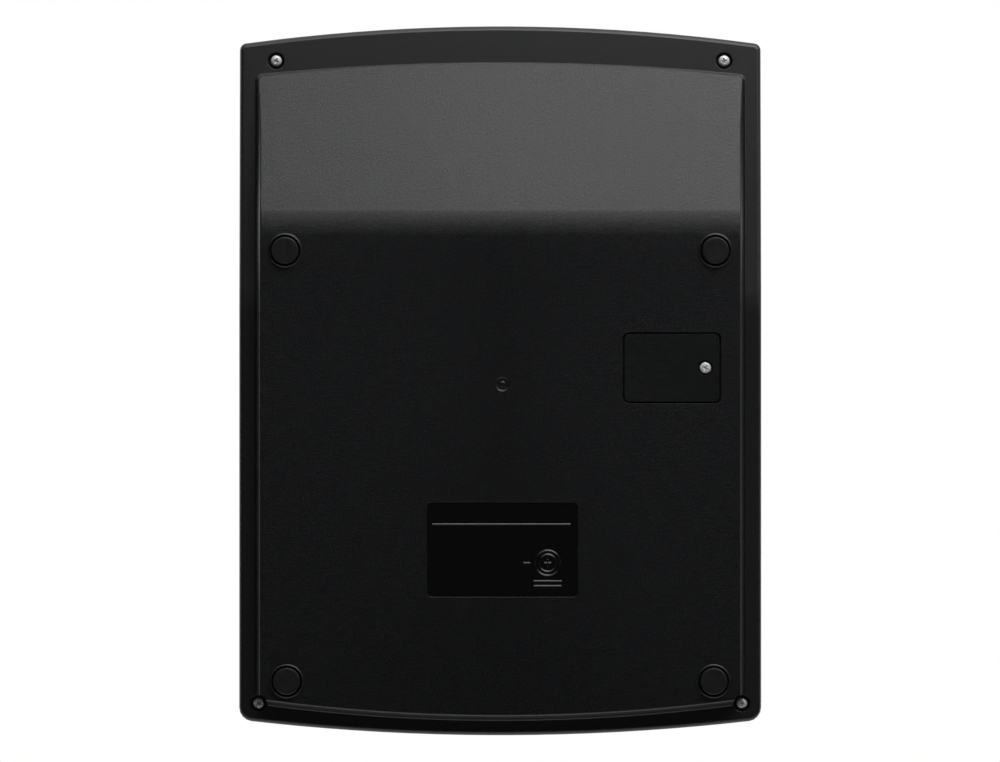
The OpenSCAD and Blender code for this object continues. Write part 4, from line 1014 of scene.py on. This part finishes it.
# ---- Slide switches --------------------------------------------------------------------------
# Two satin grey ABS knobs with three ribs, on plates that slide under the deck, and the brass
# wipers under them. The positions are printed on the deck beside each slot.
MARK_SIZE, MARK_T, MARK_OFF = 2.4, 0.04, 4.6
GREY_ABS = coloured_plastic("grey_switch_abs", (0.34, 0.34, 0.355), (0.40, 0.40, 0.415))
BRASS = bright_metal("sprung_brass", (0.66, 0.50, 0.24), (0.78, 0.62, 0.34), (0.24, 0.38))
for switch, wiper in (("decimal_switch", "decimal_wiper"), ("rounding_switch", "rounding_wiper")):
    knob = eased(switch, 0.12, GREY_ABS)
    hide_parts(switch)
    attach(knob, switch)
    strip = eased(wiper, 0.05, BRASS, 1)
    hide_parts(wiper)
    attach(strip, switch)
marks = []
for x, words in zip(SWITCH_X, ("F 4 2 0 A", "↑ 5/4 ↓")):
    words = words.split()
    for i, word in enumerate(words):
        at = (x + (i / (len(words) - 1) * 2 - 1) * (SWITCH_TRAVEL + 1.2), SWITCH_V + MARK_OFF)
        turn = -1 if word == "↑" else 1  # an arrow up is an arrow down, turned round
        marks.append(lettering("switch_mark", "↓" if turn < 0 else word, MARK_SIZE,
                               lambda u, v, h: on_deck(at[0] + turn * u, at[1] + turn * v, h),
                               MARK_T))
switch_marks = join(marks)
switch_marks.name = "switch_marks"
paint(switch_marks, coloured_plastic("white_ink", (0.62, 0.62, 0.60), (0.70, 0.70, 0.68),
                                     (0.4, 0.5), 0.001))
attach(switch_marks, "case")


# ---- Circuit board and key mat ---------------------------------------------------------------
# A paper-phenolic board with green solder mask, screwed under the key deck. Carbon pads lie on it
# under each dome of the silicone key mat, and a drop of black resin covers the bonded chip.
MAT_W, MAT_L, MAT_T, MAT_START, MAT_EDGE = 131.0, 100.75, 0.8, 11.4, 0.1
DOME_H, DOME_TRAVEL, PAD_R, MAT_CLEAR_R = 1.45, 1.3, 2.6, 2.5

MASK, shader, place = finish_of("green_solder_mask")
tracks = node(shader, "TexBrick", Vector=scaled(place, 2.6, 7.5, 2.6), Scale=1.0,
              Mortar_Size=0.09, Mortar=(0.060, 0.260, 0.105, 1),
              Color1=(0.030, 0.150, 0.060, 1), Color2=(0.034, 0.165, 0.066, 1)).outputs
feed(shader, Base_Color=tracks["Color"], Roughness=span(cloud(place, 3.0), 0.24, 0.36),
     Normal=bump(tracks["Fac"], 0.03, 0.6))
dress("circuit_board", MASK)
pads = repeated("board_contact_pads",
                stacked("contact_pad", discs([(PAD_R, 0), (PAD_R, 0.02), (PAD_R - 0.1, 0.03)], 24)),
                [(on_deck(*at, -BOARD_TOP), (KEY_TILT, 0, 0)) for _, at, _, _, _ in KEYS],
                coloured_plastic("carbon_ink", (0.022, 0.022, 0.024), (0.034, 0.034, 0.036),
                                 (0.5, 0.62), 0.004))
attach(pads, "case")

SILICONE = patchy("grey_silicone", (0.56, 0.57, 0.55), (0.64, 0.65, 0.63), rough=(0.5, 0.62),
                  patch=(4.0, 3.0), Subsurface_Weight=0.3, Subsurface_Scale=0.001)
mat = stacked("key_mat_sheet", plates(MAT_W, MAT_L, 1.0, [
    (-MAT_EDGE, 0), (0, MAT_EDGE), (0, MAT_T - MAT_EDGE), (-MAT_EDGE, MAT_T)]),
    upon(on_deck, (0, MAT_START + MAT_L / 2), -BOARD_TOP))
combine(mat, [rod("clearance", MAT_CLEAR_R, -1, MAT_T + 1, upon(on_deck, at, -BOARD_TOP), 32)
              for at in BOARD_SCREW_AT])
soften(mat)
paint(mat, SILICONE)
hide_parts("key_mat")
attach(mat, "case")
dome_shape = discs([(3.85, -0.02), (3.7, 0.08), (3.2, 0.35), (2.6, 1.05), (2.4, 1.30), (2.2, 1.40),
                    (1.9, DOME_H - 0.01)], 24)
for name, at, _, _, _ in KEYS:
    dome = stacked(f"{name}_dome", dome_shape, upon(on_deck, at, MAT_T - BOARD_TOP))
    soften(dome)
    paint(dome, SILICONE)
    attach(dome, "case")
    [c * MM for c in on_deck(*at, MAT_T - BOARD_TOP)]
    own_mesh(dome)

dress("controller_chip", patchy("black_resin", (0.010, 0.010, 0.010), (0.016, 0.015, 0.015),
                                rough=(0.10, 0.20), patch=(5.0, 1.0), fine=(5.0, 1.0), depth=0.2,
                                strength=0.4))

FILM, shader, place = finish_of("printed_film")
stripes = node(shader, "TexWave", Vector=scaled(place, 1.4, 0, 0), Scale=0.314)
stripes.bands_direction = "X"
stripes = span(stripes.outputs["Fac"], 0, 1, 0.45, 0.55)
feed(shader, Base_Color=shades(stripes, (0.030, 0.030, 0.030), (0.52, 0.30, 0.09)),
     Roughness=span(cloud(place, 2.0), 0.3, 0.4))
dress("lcd_ribbon", FILM)

bracket = eased("lcd_bracket", 0.2, coloured_plastic("natural_abs", (0.60, 0.60, 0.56),
                                                     (0.67, 0.67, 0.63)))
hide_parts("lcd_bracket")
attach(bracket, "case")


# ---- Button cell and its contacts ------------------------------------------------------------
# A small alkaline cell, 11.6 mm across: its steel can is the positive pole and faces the door.
# Sprung brass strips above it and beside it lead through the roof of the well.
STEEL = bright_metal("cell_steel", (0.60, 0.60, 0.61), (0.70, 0.70, 0.71), (0.16, 0.30))
can = [(4.4, 0.0), (5.2, 0.0), (5.6, 0.12), (CELL_R, 0.4), (CELL_R, 4.75), (5.6, 5.05), (5.1, 5.15),
       (4.75, 5.12), (4.55, 5.0), (4.4, 5.1), (4.2, 5.3), (3.9, 5.4)]
cell = stacked("button_cell_can", discs(can, 64), level(CELL_AT, CELL_Z))
soften(cell, 40)
paint(cell, STEEL)
combine(cell, [stacked("plus", slab(round_plate(w, l, 0.15, 2), -0.3, 0.12),
                       level(CELL_AT, CELL_Z)) for w, l in ((3.0, 0.6), (0.6, 3.0))])
soften(cell, 40)
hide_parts("button_cell")
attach(cell, "case")
for name in ("battery_spring", "battery_side_contact"):
    strip = eased(name, 0.06, BRASS, 1)
    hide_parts(name)
    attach(strip, "case")


# ---- Leads -----------------------------------------------------------------------------------
# Four thin insulated wires, soldered at both ends: two from the battery contacts and two from the
# solar cell down to the board.
LEAD_R, LEAD_BEND, BOARD_BOTTOM, BOARD_END = 0.45, 1.2, BOARD_TOP + BOARD_T, 124.0
LEAD = geometry_tree(
    "wire_along_a_path", {"Radius": "Float", "Bend": "Float", "Finish": "Material"},
    [("path", "MeshToCurve", {}), ("corner", "FilletCurve", {"mode": "POLY", "Count": 6}),
     ("ring", "CurvePrimitiveCircle", {"Resolution": 14}),
     ("sweep", "CurveToMesh", {"Fill Caps": True})],
    [("given", "Geometry", "path", 0), ("path", 0, "corner", "Curve"),
     ("given", "Bend", "corner", "Radius"), ("given", "Radius", "ring", "Radius"),
     ("corner", 0, "sweep", "Curve"), ("ring", "Curve", "sweep", "Profile Curve"),
     ("sweep", 0, "real", 0)])

battery_turn_v, under = DOOR_AT[1] - CASE["fore"], -BRACKET_TOP - BRACKET_T
leads = []
for name, tail, shift, colour in (("battery_lead_plus", TAILS[0], -1.5, "red_lead"),
                                  ("battery_lead_minus", TAILS[1], 2.7, "black_lead")):
    x, y, z = tail + 0.2, DOOR_AT[1] + 0.8 + LEAD_R + 0.05, WELL_TOP + LEAD_R
    turn_at = on_deck(x + shift, battery_turn_v, -BOARD_BOTTOM - 1.3)
    leads.append((name, colour, [(x, y, z), (x, y, turn_at[2]), turn_at,
                                 on_deck(x + shift, battery_turn_v, -BOARD_BOTTOM - LEAD_R)]))
for name, x, pad_x, colour in (("solar_lead_plus", SOLAR_AT[0] + 18, 52, "red_lead"),
                               ("solar_lead_minus", SOLAR_AT[0] + 14, 48, "black_lead")):
    leads.append((name, colour, [on_display(x, SOLAR_AT[1] - 4, -DECK_T - 1.1 - LEAD_R),
                                 on_display(x, LCD_AT[1] + 18.5, under - 3),
                                 on_display(pad_x, LCD_AT[1] - 16.5, under - 4),
                                 on_deck(pad_x, BOARD_END + 3, -BOARD_BOTTOM - 1.5),
                                 on_deck(pad_x, BOARD_END - 3, -BOARD_BOTTOM - LEAD_R)]))
PVC = {"red_lead": coloured_plastic("red_pvc", (0.42, 0.025, 0.02), (0.50, 0.035, 0.028)),
       "black_lead": coloured_plastic("black_pvc", (0.016, 0.016, 0.017), (0.024, 0.024, 0.025))}
for name, colour, points in leads:
    wire = grown(f"{name}_wire", points, [(i, i + 1) for i in range(len(points) - 1)], LEAD,
                 Radius=LEAD_R * MM, Bend=LEAD_BEND * MM, Finish=PVC[colour])
    settle(wire)
    soften(wire, 50)
    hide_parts(name)
    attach(wire, "case")


# ---- Table and light -------------------------------------------------------------------------
# The calculator stands on a pale table that is seen from above only, so that it can be looked at
# from below as well. Soft boxes hang over it and lie under it; the space round it is white.


def backdrop(name, corners, faces, **finish):
    """A plain surface of the studio, and its shader."""
    data = bpy.data.meshes.new(name)
    data.from_pydata(corners, [], faces)
    material, shader, _ = finish_of(f"{name}_matt")
    feed(shader, **finish)
    data.materials.append(material)
    return placed(name, data), shader


TABLE_W, ROOM_W, ROOM_Z, PART_MIDDLE = 8, 18, (-7, 0.8), (0, 0, 0.01)
table, shader = backdrop("table", [(*at, 0) for at in oblong(TABLE_W, TABLE_W)], [(0, 1, 2, 3)],
                         Base_Color=(0.80, 0.80, 0.79, 1), Roughness=0.7)
clear_where(shader, node(shader, "NewGeometry").outputs["Backfacing"], (1, 1, 1, 1))
for ray in ("diffuse", "glossy", "transmission", "shadow", "volume_scatter"):
    setattr(table, f"visible_{ray}", False)

shade, _ = backdrop("dark_room_below", [(*at, z) for z in ROOM_Z for at in oblong(ROOM_W, ROOM_W)],
                    [(0, 1, 2, 3), (1, 2, 6, 5), (3, 0, 4, 7)], Base_Color=(0.01, 0.01, 0.01, 1))
shade.visible_camera = False

for name, at, (w, l), radiance, aim in (
        ("box_below_rear", (-0.29, 0.60, -0.325), (0.76, 0.37), 5.1, (-0.29, 0.07, 0)),
        ("box_below_front", (0.0, -1.3, -0.55), (1.2, 0.35), 0.8, PART_MIDDLE),
        ("box_below_left", (1.3, 0.1, -0.6), (0.3, 1.0), 0.12, PART_MIDDLE),
        ("box_below_right", (-1.3, 0.1, -0.6), (0.3, 1.0), 0.3, PART_MIDDLE),
        ("box_over_left", (-0.9, -0.5, 1.2), (0.9, 0.9), 2.2, PART_MIDDLE),
        ("box_over_right", (1.0, 0.3, 1.1), (0.8, 0.8), 1.3, PART_MIDDLE)):
    lamp = placed(name, bpy.data.lights.new(name, "AREA"))
    lamp.data.shape, lamp.data.size, lamp.data.size_y = "RECTANGLE", w, l
    lamp.data.energy = radiance * pi * w * l
    lamp.location = at
    lamp.rotation_euler = (Vector(at) - Vector(aim)).to_track_quat("Z", "Y").to_euler()
    lamp.visible_camera = False

world = bpy.data.worlds.new("white_space")
bpy.context.scene.world = world
world.use_nodes = True
sky = world.node_tree.nodes["Background"]
rays = node(sky, "LightPath").outputs
seen = worked("Math", "ADD", rays["Is Camera Ray"], rays["Is Glossy Ray"])
seen = worked("Math", "ADD", seen, rays["Is Transmission Ray"])
feed(sky, Color=(1, 1, 1, 1), Strength=span(seen, 0.45, 1.0, 0, 1))  # white as seen, a dimmer lamp

DISTANCE, VIEW_W, SENSOR_W = 6.0, 0.2874, 36
camera = placed("camera", bpy.data.cameras.new("camera"))
camera.data.sensor_width = SENSOR_W
camera.data.lens = SENSOR_W * DISTANCE / VIEW_W
camera.location = (0.00007, -0.0002, 0.008 - DISTANCE)
camera.rotation_euler = (0, pi, 0)
camera.data.clip_start, camera.data.clip_end = 0.1, 20
bpy.context.scene.camera = camera
bpy.context.scene.view_settings.view_transform = "Standard"
